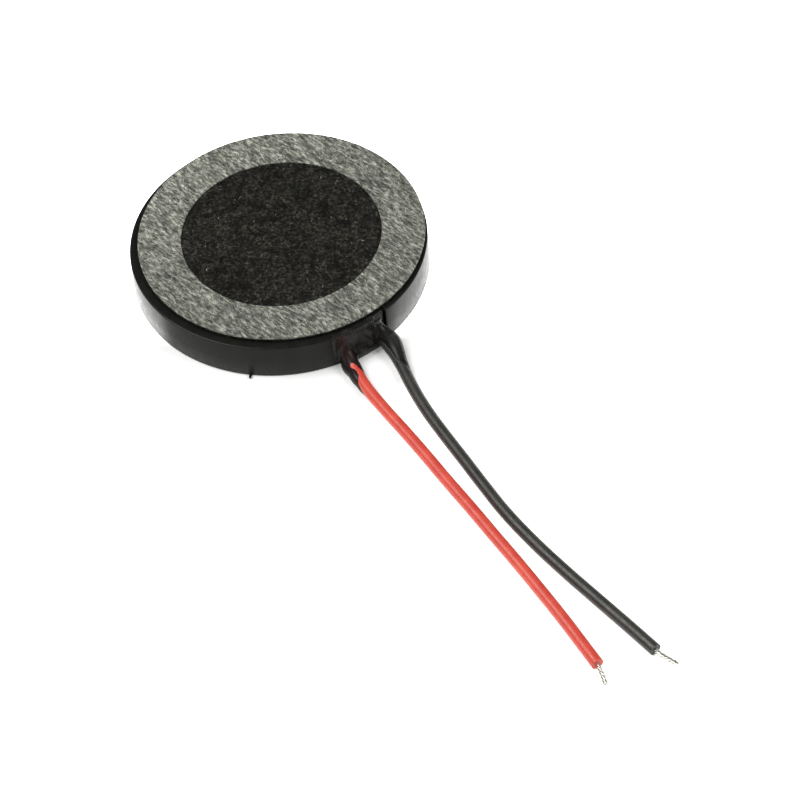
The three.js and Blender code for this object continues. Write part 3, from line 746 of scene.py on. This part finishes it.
DARK_FIBRE, dark_shader = new_look(
    "black cloth fibre", (0.015, 0.015, 0.013), 0.8, IOR=1.47, Specular_IOR_Level=0.2,
)
mottle(DARK_FIBRE, dark_shader, grain(DARK_FIBRE, 3600, detail=6.0, rough=0.75), [
    (0.42, (0.003, 0.003, 0.0025)), (0.55, (0.018, 0.017, 0.014)), (0.66, (0.15, 0.145, 0.12)),
])
relief(DARK_FIBRE, dark_shader, [(grain(DARK_FIBRE, 16000), 0.003 * MM)])
nap = fibre_mat(
    "cloth_nap", 900, 0, RING_INNER - 0.01 * MM, RING_CENTRE, height=cloth_top + 0.004 * MM,
    length=0.7 * MM, thickness=0.018 * MM, lie=-0.6, scatter=1.6, curl=1.2, seed=31,
)
finish_piece(nap, "cloth_nap", DARK_FIBRE, "face_cloth", "case")
lint = fibre_mat(
    "cloth_lint", 42, 0, RING_INNER - 0.3 * MM, RING_CENTRE, height=cloth_top + 0.02 * MM,
    length=0.14 * MM, thickness=0.04 * MM, lie=0.4, scatter=2.0, curl=1.0, seed=47,
)
finish_piece(lint, "cloth_lint", PALE_FIBRE, "face_cloth", "case")


# ---- glue ----------------------------------------------------------------------------------------
# Black adhesive run into the pocket over the solder joints. It fills the pocket nearly flush with
# the wall, hangs over the sill and creeps out along both leads, thin enough there to see through.

GLUE_VOXEL = 0.05 * MM
GLUE_LOW = 0.2 * MM
GLUE_HIGH = 2.56 * MM

GLUE, glue_shader = new_look(
    "black glue", (0.01, 0.0095, 0.008), 0.34, IOR=1.5, Specular_IOR_Level=0.22,
)
glue_shader.inputs["Alpha"].default_value = 0.88
glue_shades = [(0.35, (0.006, 0.006, 0.0052)), (0.7, (0.014, 0.013, 0.011))]
mottle(GLUE, glue_shader, grain(GLUE, 1200), glue_shades)
relief(GLUE, glue_shader, [(grain(GLUE, 700, stretch=(1, 1, 0.4), detail=2.0), 0.015 * MM)])


def lump(centre, direction, lengths):
    """An egg of glue with its long axis along a direction."""
    bpy.ops.object.select_all(action="DESELECT")
    bpy.ops.mesh.primitive_uv_sphere_add(segments=32, ring_count=20, radius=1)
    egg = bpy.context.object
    egg.data.transform(Matrix.Diagonal((*[length * MM for length in lengths], 1)))
    egg.data.transform(Vector(direction).to_track_quat("X", "Z").to_matrix().to_4x4())
    egg.data.transform(Matrix.Translation(Vector(centre) * MM))
    return egg


def cylinder(radius, low, high, sides, place=(0, 0)):
    """An upright cylinder between two heights."""
    bpy.ops.object.select_all(action="DESELECT")
    bpy.ops.mesh.primitive_cylinder_add(
        vertices=sides, radius=radius, depth=high - low, location=(*place, (low + high) / 2),
    )
    piece = bpy.context.object
    bpy.ops.object.transform_apply(location=True, rotation=True, scale=True)
    return piece


def plug(radius, left, right):
    """The part of a disc of glue that stands in the pocket between two sides."""
    piece = cylinder(radius, GLUE_LOW, GLUE_HIGH, HOUSING_SIDES)
    slot = block(
        (POCKET_FLOOR + 0.02 * MM, left, GLUE_LOW), (10.6 * MM, right, GLUE_HIGH), POCKET_AZIMUTH,
    )
    cut(piece, slot, "INTERSECT")
    return piece


fill = plug(HOUSING_RADIUS + 0.05 * MM, -POCKET_HALF_WIDTH - 0.2 * MM, 1.0 * MM)
hollow = plug(HOUSING_RADIUS - 0.2 * MM, 0.9 * MM, POCKET_HALF_WIDTH)

# Drops of glue round each lead: where the middle of each lies, and its radius, in millimetres.
ROUND_RED = [
    (3.86, -9.02, 1.35, 0.46), (3.9, -9.1, 1.15, 0.48), (3.95, -9.22, 0.95, 0.5),
    (4.0, -9.34, 0.84, 0.5), (4.06, -9.45, 0.76, 0.5), (4.12, -9.57, 0.69, 0.5),
    (4.18, -9.7, 0.62, 0.49), (4.25, -9.83, 0.56, 0.485), (4.32, -9.96, 0.5, 0.485),
    (4.39, -10.1, 0.46, 0.485), (4.46, -10.25, 0.42, 0.48), (4.52, -10.4, 0.39, 0.475),
    (4.55, -10.55, 0.38, 0.48), (4.61, -10.7, 0.36, 0.47), (4.67, -10.85, 0.33, 0.455),
    (4.73, -11.0, 0.3, 0.435), (4.79, -11.15, 0.27, 0.41), (4.85, -11.3, 0.24, 0.38),
]
ROUND_BLACK = [
    (6.0, -7.52, 1.9, 0.37), (6.08, -7.62, 1.65, 0.41), (6.18, -7.72, 1.4, 0.46),
    (6.35, -7.85, 1.16, 0.52), (6.6, -8.02, 0.96, 0.58), (6.82, -8.2, 0.82, 0.62),
    (6.98, -8.4, 0.7, 0.63), (7.08, -8.62, 0.6, 0.62), (7.16, -8.85, 0.53, 0.58),
    (7.24, -9.1, 0.48, 0.55), (7.31, -9.35, 0.45, 0.52), (7.38, -9.62, 0.43, 0.49),
    (7.44, -9.9, 0.41, 0.465), (7.52, -10.2, 0.4, 0.445), (7.61, -10.5, 0.4, 0.42),
    (7.7, -10.8, 0.39, 0.4),
]
# Longer runs of glue: the middle, the way that each one points, and its three half-lengths.
EGGS = [
    ((4.1, -10.0, 0.28), (0.4, -0.92, 0), (0.9, 0.5, 0.46)),
    ((4.5, -10.95, 0.34), (0.42, -0.91, 0), (1.0, 0.42, 0.5)),
    ((4.84, -11.7, 0.26), (0.44, -0.9, 0), (0.9, 0.34, 0.4)),
    ((4.92, -8.4, 1.25), (0, 0, 1), (1.15, 0.45, 0.75)),
    ((5.25, -8.3, 1.0), (0, 0, 1), (0.95, 0.45, 0.7)),
    ((4.75, -8.7, 0.8), (0, 0, 1), (0.7, 0.5, 0.65)),
]
# A bead of drops along the sill, from the red lead's side to the black one's.
SILL_DROPS = 16
SILL_BEAD = []
for index in range(SILL_DROPS):
    share = index / (SILL_DROPS - 1)
    beside = 2.7 * share - 1.1
    spot = Matrix.Rotation(POCKET_AZIMUTH, 3, "Z") @ Vector((9.95, beside, 0.54 - 0.1 * share))
    SILL_BEAD.append((*spot, 0.58 - 0.13 * share))
drops = [lump(drop[:3], (1, 0, 0), (drop[3],) * 3) for drop in ROUND_RED + ROUND_BLACK + SILL_BEAD]
lumps = [fill, hollow, *drops, *[lump(*egg) for egg in EGGS]]
bpy.ops.object.select_all(action="DESELECT")
for piece in lumps:
    piece.select_set(True)
bpy.context.view_layer.objects.active = fill
bpy.ops.object.join()
glue = bpy.context.object
melt = glue.modifiers.new("melt", "REMESH")
melt.mode = "VOXEL"
melt.voxel_size = GLUE_VOXEL
bpy.ops.object.modifier_apply(modifier=melt.name)
settle = glue.modifiers.new("settle", "SMOOTH")
settle.factor = 0.7
settle.iterations = 60
bpy.ops.object.modifier_apply(modifier=settle.name)
for vertex in glue.data.vertices:
    vertex.co.z = max(vertex.co.z, 0.0)
bpy.ops.object.shade_smooth()
finish_piece(glue, "lead_glue_fill", GLUE, "black_glue", "case", "lead_glue")


# ---- rear cover ----------------------------------------------------------------------------------
# The motor's back: a shallow dish pressed from thin bright-annealed steel and dropped into the
# housing's seat, with its rolling marks all one way and a rounded rim.

COVER_SIDES = 160
COVER_RADIUS = 8.42 * MM
DISH_RADIUS = 8.12 * MM
DISH_THICKNESS = 0.2 * MM
DISH_HEIGHT = 0.42 * MM
TURNED_MIDDLE = 0.3 * MM

STEEL, steel_shader = new_look("cover steel", (0.55, 0.55, 0.53), 0.3, Metallic=1.0)
rolling = grain(STEEL, 900, stretch=(0.06, 1, 1), detail=8.0, rough=0.7)
mottle(STEEL, steel_shader, rolling, [(0.3, (0.44, 0.44, 0.42)), (0.7, (0.62, 0.62, 0.6))])
mottle(STEEL, steel_shader, grain(STEEL, 500), [(0.35, 0.22), (0.7, 0.36)], "Roughness")
relief(STEEL, steel_shader, [(rolling, 0.002 * MM), (grain(STEEL, 250, detail=2.0), 0.006 * MM)])


rear_cover = capped(turned("rear_cover_dish", [
    (TURNED_MIDDLE, DISH_THICKNESS), (DISH_RADIUS - 0.1 * MM, DISH_THICKNESS),
    (DISH_RADIUS - 0.02 * MM, DISH_THICKNESS + 0.03 * MM),
    (DISH_RADIUS, DISH_THICKNESS + 0.1 * MM), (DISH_RADIUS, DISH_HEIGHT), (COVER_RADIUS, DISH_HEIGHT),
    (COVER_RADIUS, 0.12 * MM), (COVER_RADIUS - 0.035 * MM, 0.035 * MM),
    (COVER_RADIUS - 0.12 * MM, 0), (TURNED_MIDDLE, 0),
], COVER_SIDES, closed=False))
soften(rear_cover, 0.012 * MM, 1)
finish_piece(rear_cover, "rear_cover_dish", STEEL, "cover_steel", "case", "rear_cover")


# ---- front cover ---------------------------------------------------------------------------------
# A flat steel disc under the cloth that closes the film's side. Seven sound holes are punched
# through it, one in the middle and six round it.

FRONT_COVER_RADIUS = 8.82 * MM
FRONT_COVER_LOW = 2.32 * MM
FRONT_COVER_HIGH = 2.54 * MM
SOUND_HOLE_RADIUS = 0.6 * MM
SOUND_HOLE_CIRCLE = 4.2 * MM
SOUND_HOLES_ROUND = 6
SOUND_HOLE_SIDES = 48

front_cover = cylinder(FRONT_COVER_RADIUS, FRONT_COVER_LOW, FRONT_COVER_HIGH, COVER_SIDES)
for number in range(SOUND_HOLES_ROUND + 1):
    turn = 2 * math.pi * number / SOUND_HOLES_ROUND
    reach = SOUND_HOLE_CIRCLE if number < SOUND_HOLES_ROUND else 0
    place = (reach * math.cos(turn), reach * math.sin(turn))
    punch = cylinder(
        SOUND_HOLE_RADIUS, FRONT_COVER_LOW - 0.39 * MM, FRONT_COVER_HIGH + 0.39 * MM,
        SOUND_HOLE_SIDES, place,
    )
    cut(front_cover, punch)
soften(front_cover, 0.02 * MM)
finish_piece(front_cover, "front_cover_disc", STEEL, "cover_steel", "case", "front_cover")


# ---- clamp ring ----------------------------------------------------------------------------------
# A moulded ring that is pressed on the film's rim and holds it down on its shelf.

CLAMP_INNER = 8.3 * MM
CLAMP_OUTER = 8.82 * MM
CLAMP_LOW = 1.97 * MM
CLAMP_HIGH = 2.3 * MM

clamp = turned("clamp_ring_moulding", [
    (CLAMP_INNER, CLAMP_LOW), (CLAMP_INNER, CLAMP_HIGH),
    (CLAMP_OUTER, CLAMP_HIGH), (CLAMP_OUTER, CLAMP_LOW),
])
soften(clamp, 0.03 * MM)
finish_piece(clamp, "clamp_ring_moulding", MOULDED, "moulded_plastic", "case", "clamp_ring")


# ---- yoke ----------------------------------------------------------------------------------------
# A cup pressed from soft magnetic steel that carries the magnet and leads its field round to the
# coil. It is nickel plated and swings up and down with the weight.

CUP_OUTER = 6 * MM
CUP_INNER = 5.5 * MM
CUP_LOW = 0.52 * MM
CUP_FLOOR = 0.8 * MM
CUP_HIGH = 1.5 * MM

YOKE_STEEL, yoke_shader = new_look("plated yoke steel", (0.6, 0.59, 0.55), 0.28, Metallic=1.0)
yoke_shades = [(0.3, (0.5, 0.49, 0.45)), (0.7, (0.66, 0.65, 0.61))]
mottle(YOKE_STEEL, yoke_shader, grain(YOKE_STEEL, 1400), yoke_shades)
mottle(YOKE_STEEL, yoke_shader, grain(YOKE_STEEL, 3000), [(0.3, 0.2), (0.7, 0.34)], "Roughness")
relief(YOKE_STEEL, yoke_shader, [
    (grain(YOKE_STEEL, 700, detail=2.0), 0.006 * MM), (grain(YOKE_STEEL, 9000), 0.0015 * MM),
])

yoke = capped(turned("yoke_cup", [
    (TURNED_MIDDLE, CUP_FLOOR), (CUP_INNER, CUP_FLOOR), (CUP_INNER, CUP_HIGH), (CUP_OUTER, CUP_HIGH),
    (CUP_OUTER, CUP_LOW + 0.1 * MM), (CUP_OUTER - 0.03 * MM, CUP_LOW + 0.03 * MM),
    (CUP_OUTER - 0.1 * MM, CUP_LOW), (TURNED_MIDDLE, CUP_LOW),
], COVER_SIDES, closed=False))
soften(yoke, 0.03 * MM)
finish_piece(yoke, "yoke_cup", YOKE_STEEL, "yoke_steel", "mass", "yoke")


# ---- magnet and pole plate -----------------------------------------------------------------------
# A sintered disc magnet with bright nickel plating, glued in the cup, and a soft steel plate on
# its upper face that turns the field outwards through the coil.

MAGNET_RADIUS = 4.55 * MM
MAGNET_HIGH = 1.3 * MM
POLE_RADIUS = 4.65 * MM

PLATING, plating_shader = new_look("magnet plating", (0.72, 0.7, 0.64), 0.12, Metallic=1.0)
plating_shades = [(0.3, (0.66, 0.64, 0.57)), (0.7, (0.76, 0.74, 0.68))]
mottle(PLATING, plating_shader, grain(PLATING, 2000, detail=3.0), plating_shades)
mottle(PLATING, plating_shader, grain(PLATING, 1500), [(0.35, 0.08), (0.7, 0.2)], "Roughness")
relief(PLATING, plating_shader, [(grain(PLATING, 3500, detail=3.0), 0.004 * MM)])

magnet = cylinder(MAGNET_RADIUS, CUP_FLOOR, MAGNET_HIGH, COVER_SIDES)
soften(magnet, 0.06 * MM, 3)
finish_piece(magnet, "magnet_disc", PLATING, "magnet_plating", "mass", "magnet")
pole_plate = cylinder(POLE_RADIUS, MAGNET_HIGH, CUP_HIGH, COVER_SIDES)
soften(pole_plate, 0.03 * MM, 3)
finish_piece(pole_plate, "pole_plate_disc", YOKE_STEEL, "yoke_steel", "mass", "pole_plate")


# ---- weight ring ---------------------------------------------------------------------------------
# The heavy ring round the yoke: tungsten alloy pressed and sintered, dull grey, with a flange
# between the two springs that takes it up to the bore.

WEIGHT_INNER = 6.02 * MM
WEIGHT_OUTER = 6.5 * MM
FLANGE_RADIUS = 7.5 * MM
FLANGE_LOW = 0.74 * MM
FLANGE_HIGH = 1.28 * MM

ALLOY, alloy_shader = new_look("sintered heavy alloy", (0.3, 0.3, 0.31), 0.45, Metallic=1.0)
alloy_shades = [(0.32, (0.17, 0.17, 0.18)), (0.68, (0.36, 0.36, 0.37))]
mottle(ALLOY, alloy_shader, grain(ALLOY, 6000, detail=6.0, rough=0.7), alloy_shades)
mottle(ALLOY, alloy_shader, grain(ALLOY, 4000), [(0.3, 0.38), (0.7, 0.56)], "Roughness")
relief(ALLOY, alloy_shader, [(grain(ALLOY, 9000, detail=6.0, rough=0.7), 0.006 * MM)])

weight = turned("weight_ring_sintered", [
    (WEIGHT_INNER, CUP_LOW), (WEIGHT_OUTER, CUP_LOW), (WEIGHT_OUTER, FLANGE_LOW),
    (FLANGE_RADIUS, FLANGE_LOW), (FLANGE_RADIUS, FLANGE_HIGH), (WEIGHT_OUTER, FLANGE_HIGH),
    (WEIGHT_OUTER, CUP_HIGH), (WEIGHT_INNER, CUP_HIGH),
], COVER_SIDES)
soften(weight, 0.03 * MM)
finish_piece(weight, "weight_ring_sintered", ALLOY, "heavy_alloy", "mass", "weight_ring")


# ---- springs -------------------------------------------------------------------------------------
# Two flat springs etched from spring steel. The rim of each stands still in the housing, the hub
# is welded to the weight, and three arms wind outwards from hub to rim.

SPRING_THICKNESS = 0.06 * MM
RIM_INNER = 8.03 * MM
RIM_OUTER = 8.42 * MM
HUB_INNER = 5.75 * MM
HUB_OUTER = 6.5 * MM
ARMS = 3
ARM_START_RADIUS = 6.25 * MM
ARM_END_RADIUS = 8.25 * MM
ARM_SWEEP = math.radians(110)
ARM_HALF_WIDTH = 0.22 * MM
ARM_STEPS = 44
ARM_UNDERCUT = 0.003 * MM

SPRING, spring_shader = new_look("spring steel", (0.5, 0.47, 0.4), 0.22, Metallic=1.0)
spring_lines = grain(SPRING, 1500, stretch=(0.08, 1, 1), detail=6.0)
mottle(SPRING, spring_shader, spring_lines, [(0.3, (0.4, 0.37, 0.3)), (0.7, (0.56, 0.53, 0.46))])
mottle(SPRING, spring_shader, grain(SPRING, 2500), [(0.3, 0.16), (0.7, 0.3)], "Roughness")
relief(SPRING, spring_shader, [(spring_lines, 0.0015 * MM), (grain(SPRING, 12000), 0.001 * MM)])


def spring_arm(name, low, high, start, direction):
    """One arm: a flat strip laid along its spiral and given its thickness. Returns the arm and
    the middles of its two ends."""
    bpy.ops.object.select_all(action="DESELECT")
    bpy.ops.mesh.primitive_grid_add(x_subdivisions=ARM_STEPS, y_subdivisions=2, size=1)
    piece = bpy.context.object
    for vertex in piece.data.vertices:
        along = vertex.co.x + 0.5
        side = 2 * vertex.co.y
        turn = start + direction * ARM_SWEEP * along
        radius = ARM_START_RADIUS + (ARM_END_RADIUS - ARM_START_RADIUS) * along
        rise = (ARM_END_RADIUS - ARM_START_RADIUS) / ARM_SWEEP * direction
        outwards = Vector((math.cos(turn), math.sin(turn), 0))
        onwards = Vector((-math.sin(turn), math.cos(turn), 0))
        heading = rise * outwards + radius * onwards
        across = Vector((-heading.y, heading.x, 0)).normalized()
        middle = Vector((radius * math.cos(turn), radius * math.sin(turn), low))
        vertex.co = middle + across * side * ARM_HALF_WIDTH
    bpy.ops.object.mode_set(mode="EDIT")
    bpy.ops.mesh.select_mode(type="FACE")
    bpy.ops.mesh.select_all(action="SELECT")
    bpy.ops.mesh.extrude_region_move(TRANSFORM_OT_translate={"value": (0, 0, high - low)})
    bpy.ops.mesh.select_all(action="SELECT")
    bpy.ops.mesh.normals_make_consistent(inside=False)
    bpy.ops.object.mode_set(mode="OBJECT")
    bpy.ops.object.shade_smooth_by_angle(angle=math.radians(35))
    finish_piece(piece, name, SPRING, "spring_steel", None)
    root = Vector((ARM_START_RADIUS * math.cos(start), ARM_START_RADIUS * math.sin(start), low))
    end = start + direction * ARM_SWEEP
    tip = Vector((ARM_END_RADIUS * math.cos(end), ARM_END_RADIUS * math.sin(end), low))
    return piece, root, tip


def flat_ring(name, inner, outer, low, high):
    ring = turned(name, [(inner, low), (outer, low), (outer, high), (inner, high)], COVER_SIDES)
    soften(ring, 0.012 * MM, 1)
    return ring


def make_spring(name, low, direction):
    high = low + SPRING_THICKNESS
    rim = flat_ring(name + "_rim", RIM_INNER, RIM_OUTER, low, high)
    finish_piece(rim, name + "_rim", SPRING, "spring_steel", "case", name)
    hub = flat_ring(name + "_hub", HUB_INNER, HUB_OUTER, low, high)
    finish_piece(hub, name + "_hub", SPRING, "spring_steel", "mass")
    for number in range(ARMS):
        start = direction * 2 * math.pi * number / ARMS
        arm, root, tip = spring_arm(
            f"{name}_arm_{number + 1}", low + ARM_UNDERCUT, high - ARM_UNDERCUT, start, direction,
        )
        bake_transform(arm)


make_spring("rear_spring", 0.44 * MM, 1)
make_spring("front_spring", 1.52 * MM, -1)


# ---- diaphragm dome ------------------------------------------------------------------------------
# The stiff middle of the diaphragm: polyester film hot-formed into a shallow dome with a flat
# flange round it, to which the voice coil is glued from below.

FILM_LOW = 1.9 * MM
FILM_HIGH = 1.95 * MM
DOME_RADIUS = 4.9 * MM
DOME_RISE = 0.21 * MM
DOME_STEPS = 20
FLANGE_EDGE = 5.45 * MM

FILM, film_shader = new_look("diaphragm film", (0.42, 0.25, 0.08), 0.22, IOR=1.6)
film_shades = [(0.3, (0.34, 0.19, 0.055)), (0.7, (0.48, 0.3, 0.11))]
mottle(FILM, film_shader, grain(FILM, 500, detail=3.0), film_shades)
mottle(FILM, film_shader, grain(FILM, 1800), [(0.3, 0.16), (0.7, 0.32)], "Roughness")
relief(FILM, film_shader, [(grain(FILM, 900, detail=2.0), 0.006 * MM)])


def dome_rise(radius):
    return DOME_RISE * math.cos(math.pi / 2 * min(radius / DOME_RADIUS, 1))


dome_radii = spread(0.12 * MM, DOME_RADIUS, DOME_STEPS)
dome = capped(turned("diaphragm_dome_film", [
    *[(radius, FILM_HIGH + dome_rise(radius)) for radius in dome_radii],
    (FLANGE_EDGE, FILM_HIGH), (FLANGE_EDGE, FILM_LOW),
    *[(radius, FILM_LOW + dome_rise(radius)) for radius in reversed(dome_radii)],
], COVER_SIDES, closed=False))
bpy.ops.object.shade_smooth_by_angle(angle=math.radians(30))
finish_piece(dome, "diaphragm_dome_film", FILM, "diaphragm_film", "diaphragm", "diaphragm_dome")


# ---- diaphragm surround --------------------------------------------------------------------------
# The film goes on past the dome as a half-round roll that flexes, and a flat rim that the clamp
# ring holds. The roll is laid in sectors, each reaching from the dome's flange to the housing.

ROLL_INNER = 5.8 * MM
ROLL_OUTER = 8.15 * MM
ROLL_RISE = 0.2 * MM
FILM_EDGE_INNER = 5.47 * MM
FILM_EDGE_OUTER = 8.81 * MM
ROLL_SECTORS = 24
SECTOR_STEPS = 6
ROLL_STEPS = 30


def film_sector(start, finish):
    """A slice of the film between two azimuths: a grid laid over the roll, one film thick."""
    bpy.ops.object.select_all(action="DESELECT")
    bpy.ops.mesh.primitive_grid_add(x_subdivisions=ROLL_STEPS, y_subdivisions=SECTOR_STEPS, size=1)
    piece = bpy.context.object
    for vertex in piece.data.vertices:
        radius = FILM_EDGE_INNER + (FILM_EDGE_OUTER - FILM_EDGE_INNER) * (vertex.co.x + 0.5)
        turn = start + (finish - start) * (vertex.co.y + 0.5)
        share = min(max((radius - ROLL_INNER) / (ROLL_OUTER - ROLL_INNER), 0), 1)
        height = FILM_LOW + ROLL_RISE * math.sin(math.pi * share)
        vertex.co = Vector((radius * math.cos(turn), radius * math.sin(turn), height))
    bpy.ops.object.mode_set(mode="EDIT")
    bpy.ops.mesh.select_mode(type="FACE")
    bpy.ops.mesh.select_all(action="SELECT")
    thickness = (0, 0, FILM_HIGH - FILM_LOW)
    bpy.ops.mesh.extrude_region_move(TRANSFORM_OT_translate={"value": thickness})
    bpy.ops.mesh.select_all(action="SELECT")
    bpy.ops.mesh.normals_make_consistent(inside=False)
    bpy.ops.object.mode_set(mode="OBJECT")
    bpy.ops.object.shade_smooth_by_angle(angle=math.radians(40))
    return piece


for number in range(ROLL_SECTORS):
    start = 2 * math.pi * number / ROLL_SECTORS
    finish = 2 * math.pi * (number + 1) / ROLL_SECTORS
    sector = film_sector(start, finish)
    nodes = ["diaphragm_surround"] if number == 0 else []
    finish_piece(sector, f"film_roll_{number + 1:02d}", FILM, "diaphragm_film", None, *nodes)
    way = Vector((math.cos((start + finish) / 2), math.sin((start + finish) / 2), 0))
    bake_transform(sector)


# ---- voice coil ----------------------------------------------------------------------------------
# Enamelled copper wire wound in a tube without a former and baked hard. It hangs from the dome's
# flange into the gap round the pole plate.

COIL_INNER = 4.95 * MM
COIL_OUTER = 5.25 * MM
COIL_TOP = 1.88 * MM
COIL_HEIGHT = 0.8 * MM
COIL_TURNS = 16
COIL_GROOVE = 0.014 * MM

COPPER, copper_shader = new_look("enamelled copper", (0.78, 0.3, 0.13), 0.3, Metallic=1.0)
copper_shades = [(0.3, (0.62, 0.21, 0.08)), (0.7, (0.86, 0.38, 0.18))]
mottle(COPPER, copper_shader, grain(COPPER, 3000), copper_shades)
mottle(COPPER, copper_shader, grain(COPPER, 5000), [(0.3, 0.22), (0.7, 0.38)], "Roughness")
relief(COPPER, copper_shader, [(grain(COPPER, 9000), 0.0015 * MM)])

pitch = COIL_HEIGHT / COIL_TURNS
outside = []
inside = []
for number in range(COIL_TURNS):
    low = COIL_TOP - COIL_HEIGHT + pitch * number
    for part in (0.02, 0.25, 0.5, 0.75):
        bulge = COIL_GROOVE * math.sin(math.pi * part)
        outside.append((COIL_OUTER - COIL_GROOVE + bulge, low + pitch * part))
        inside.append((COIL_INNER + COIL_GROOVE - bulge, low + pitch * part))
outside.append((COIL_OUTER - COIL_GROOVE, COIL_TOP))
inside.append((COIL_INNER + COIL_GROOVE, COIL_TOP))
coil = turned("voice_coil_winding", [*outside, *reversed(inside)], COVER_SIDES)
bpy.ops.object.shade_smooth_by_angle(angle=math.radians(60))
finish_piece(coil, "voice_coil_winding", COPPER, "copper", "diaphragm", "voice_coil")


# ---- coil leads ----------------------------------------------------------------------------------
# The two ends of the coil's wire. They run out under the film and go through the slot in the
# housing down to the solder joints on the terminal board.

COIL_WIRE_RADIUS = 0.025 * MM


def in_pocket(out, across, up):
    """A point given by how far out, across and up it lies in the pocket's direction, in
    millimetres."""
    return Matrix.Rotation(POCKET_AZIMUTH, 3, "Z") @ Vector((out * MM, across * MM, up * MM))


for colour, side in (("red", -1), ("black", 1)):
    way = [
        in_pocket(5.29, side * 0.22, 1.84), in_pocket(6.4, side * 0.22, 1.84),
        in_pocket(7.6, side * 0.22, 1.84), in_pocket(8.6, side * 0.2, 1.82),
        in_pocket(9.15, side * 0.17, 1.79), in_pocket(9.36, side * 0.14, 1.66),
        in_pocket(9.36, side * 0.14, 1.42),
    ]
    wire, _ = round_line("coil_wire", way, COIL_WIRE_RADIUS, sides=8, steps=10)
    finish_piece(wire, "coil_lead_wire_" + colour, COPPER, "copper", None, "coil_lead_" + colour)
    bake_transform(wire)


# ---- terminal board ------------------------------------------------------------------------------
# A small plate of green glass-cloth laminate with a copper pad on each side, glued upright on the
# pocket's floor. A low dome of solder on each pad joins a coil wire to a lead.

LAMINATE, laminate_shader = new_look("board laminate", (0.03, 0.14, 0.06), 0.4, IOR=1.5)
weave = grain(LAMINATE, 5000, stretch=(1, 1, 0.2), detail=3.0)
mottle(LAMINATE, laminate_shader, weave, [(0.3, (0.02, 0.1, 0.045)), (0.7, (0.045, 0.18, 0.08))])
mottle(LAMINATE, laminate_shader, grain(LAMINATE, 3000), [(0.3, 0.3), (0.7, 0.5)], "Roughness")
relief(LAMINATE, laminate_shader, [(weave, 0.004 * MM)])

SOLDER, solder_shader = new_look("solder", (0.6, 0.6, 0.58), 0.28, Metallic=1.0)
solder_shades = [(0.3, (0.48, 0.48, 0.46)), (0.7, (0.68, 0.68, 0.66))]
mottle(SOLDER, solder_shader, grain(SOLDER, 3500), solder_shades)
mottle(SOLDER, solder_shader, grain(SOLDER, 4500), [(0.3, 0.18), (0.7, 0.4)], "Roughness")
relief(SOLDER, solder_shader, [(grain(SOLDER, 4000, detail=3.0), 0.008 * MM)])

BOARD_HALF_WIDTH = 0.8 * MM
BOARD_LOW = 0.35 * MM
BOARD_HIGH = 1.62 * MM
BOARD_FACE = 9.3 * MM
PAD_OFFSET = 0.45 * MM
PAD_HALF_WIDTH = 0.27 * MM

board = block(
    (POCKET_FLOOR + 0.02 * MM, -BOARD_HALF_WIDTH, BOARD_LOW),
    (BOARD_FACE, BOARD_HALF_WIDTH, BOARD_HIGH), POCKET_AZIMUTH,
)
soften(board, 0.015 * MM)
finish_piece(board, "terminal_board_plate", LAMINATE, "board_laminate", "case", "terminal_board")
for colour, side in (("red", -1), ("black", 1)):
    middle = side * PAD_OFFSET
    pad = block(
        (BOARD_FACE - 0.01 * MM, middle - PAD_HALF_WIDTH, 0.8 * MM),
        (BOARD_FACE + 0.015 * MM, middle + PAD_HALF_WIDTH, 1.55 * MM), POCKET_AZIMUTH,
    )
    soften(pad, 0.006 * MM)
    finish_piece(pad, "solder_pad_" + colour, COPPER, "copper", "case")
    joint = lump(in_pocket(9.31, side * 0.45, 1.3) / MM, in_pocket(1, 0, 0), (0.2, 0.24, 0.24))
    roughen(joint, 0.3 * MM, 0.012 * MM)
    bpy.ops.object.shade_smooth()
    finish_piece(joint, "solder_dome_" + colour, SOLDER, "solder", "case", "solder_" + colour)


# ---- lead roots ----------------------------------------------------------------------------------
# The stripped strands at the upper end of each lead. They come out of the sleeve in the pocket,
# bend over and go down to the solder.

for colour, side, route in (("red", -1, RED_ROUTE), ("black", 1, BLACK_ROUTE)):
    top = Vector(route[0]) * MM
    way = [
        top + Vector((0, 0, 0.01 * MM)), in_pocket(9.5, side * 1.24, 2.22),
        in_pocket(9.48, side * 1.02, 2.3), in_pocket(9.48, side * 0.76, 2.27),
        in_pocket(9.5, side * 0.56, 2.12), in_pocket(9.5, side * 0.47, 1.84),
        in_pocket(9.48, side * 0.45, 1.6),
    ]
    twisted_strands("strand_root_" + colour, way, "case", ["root_" + colour], flare=0.0)
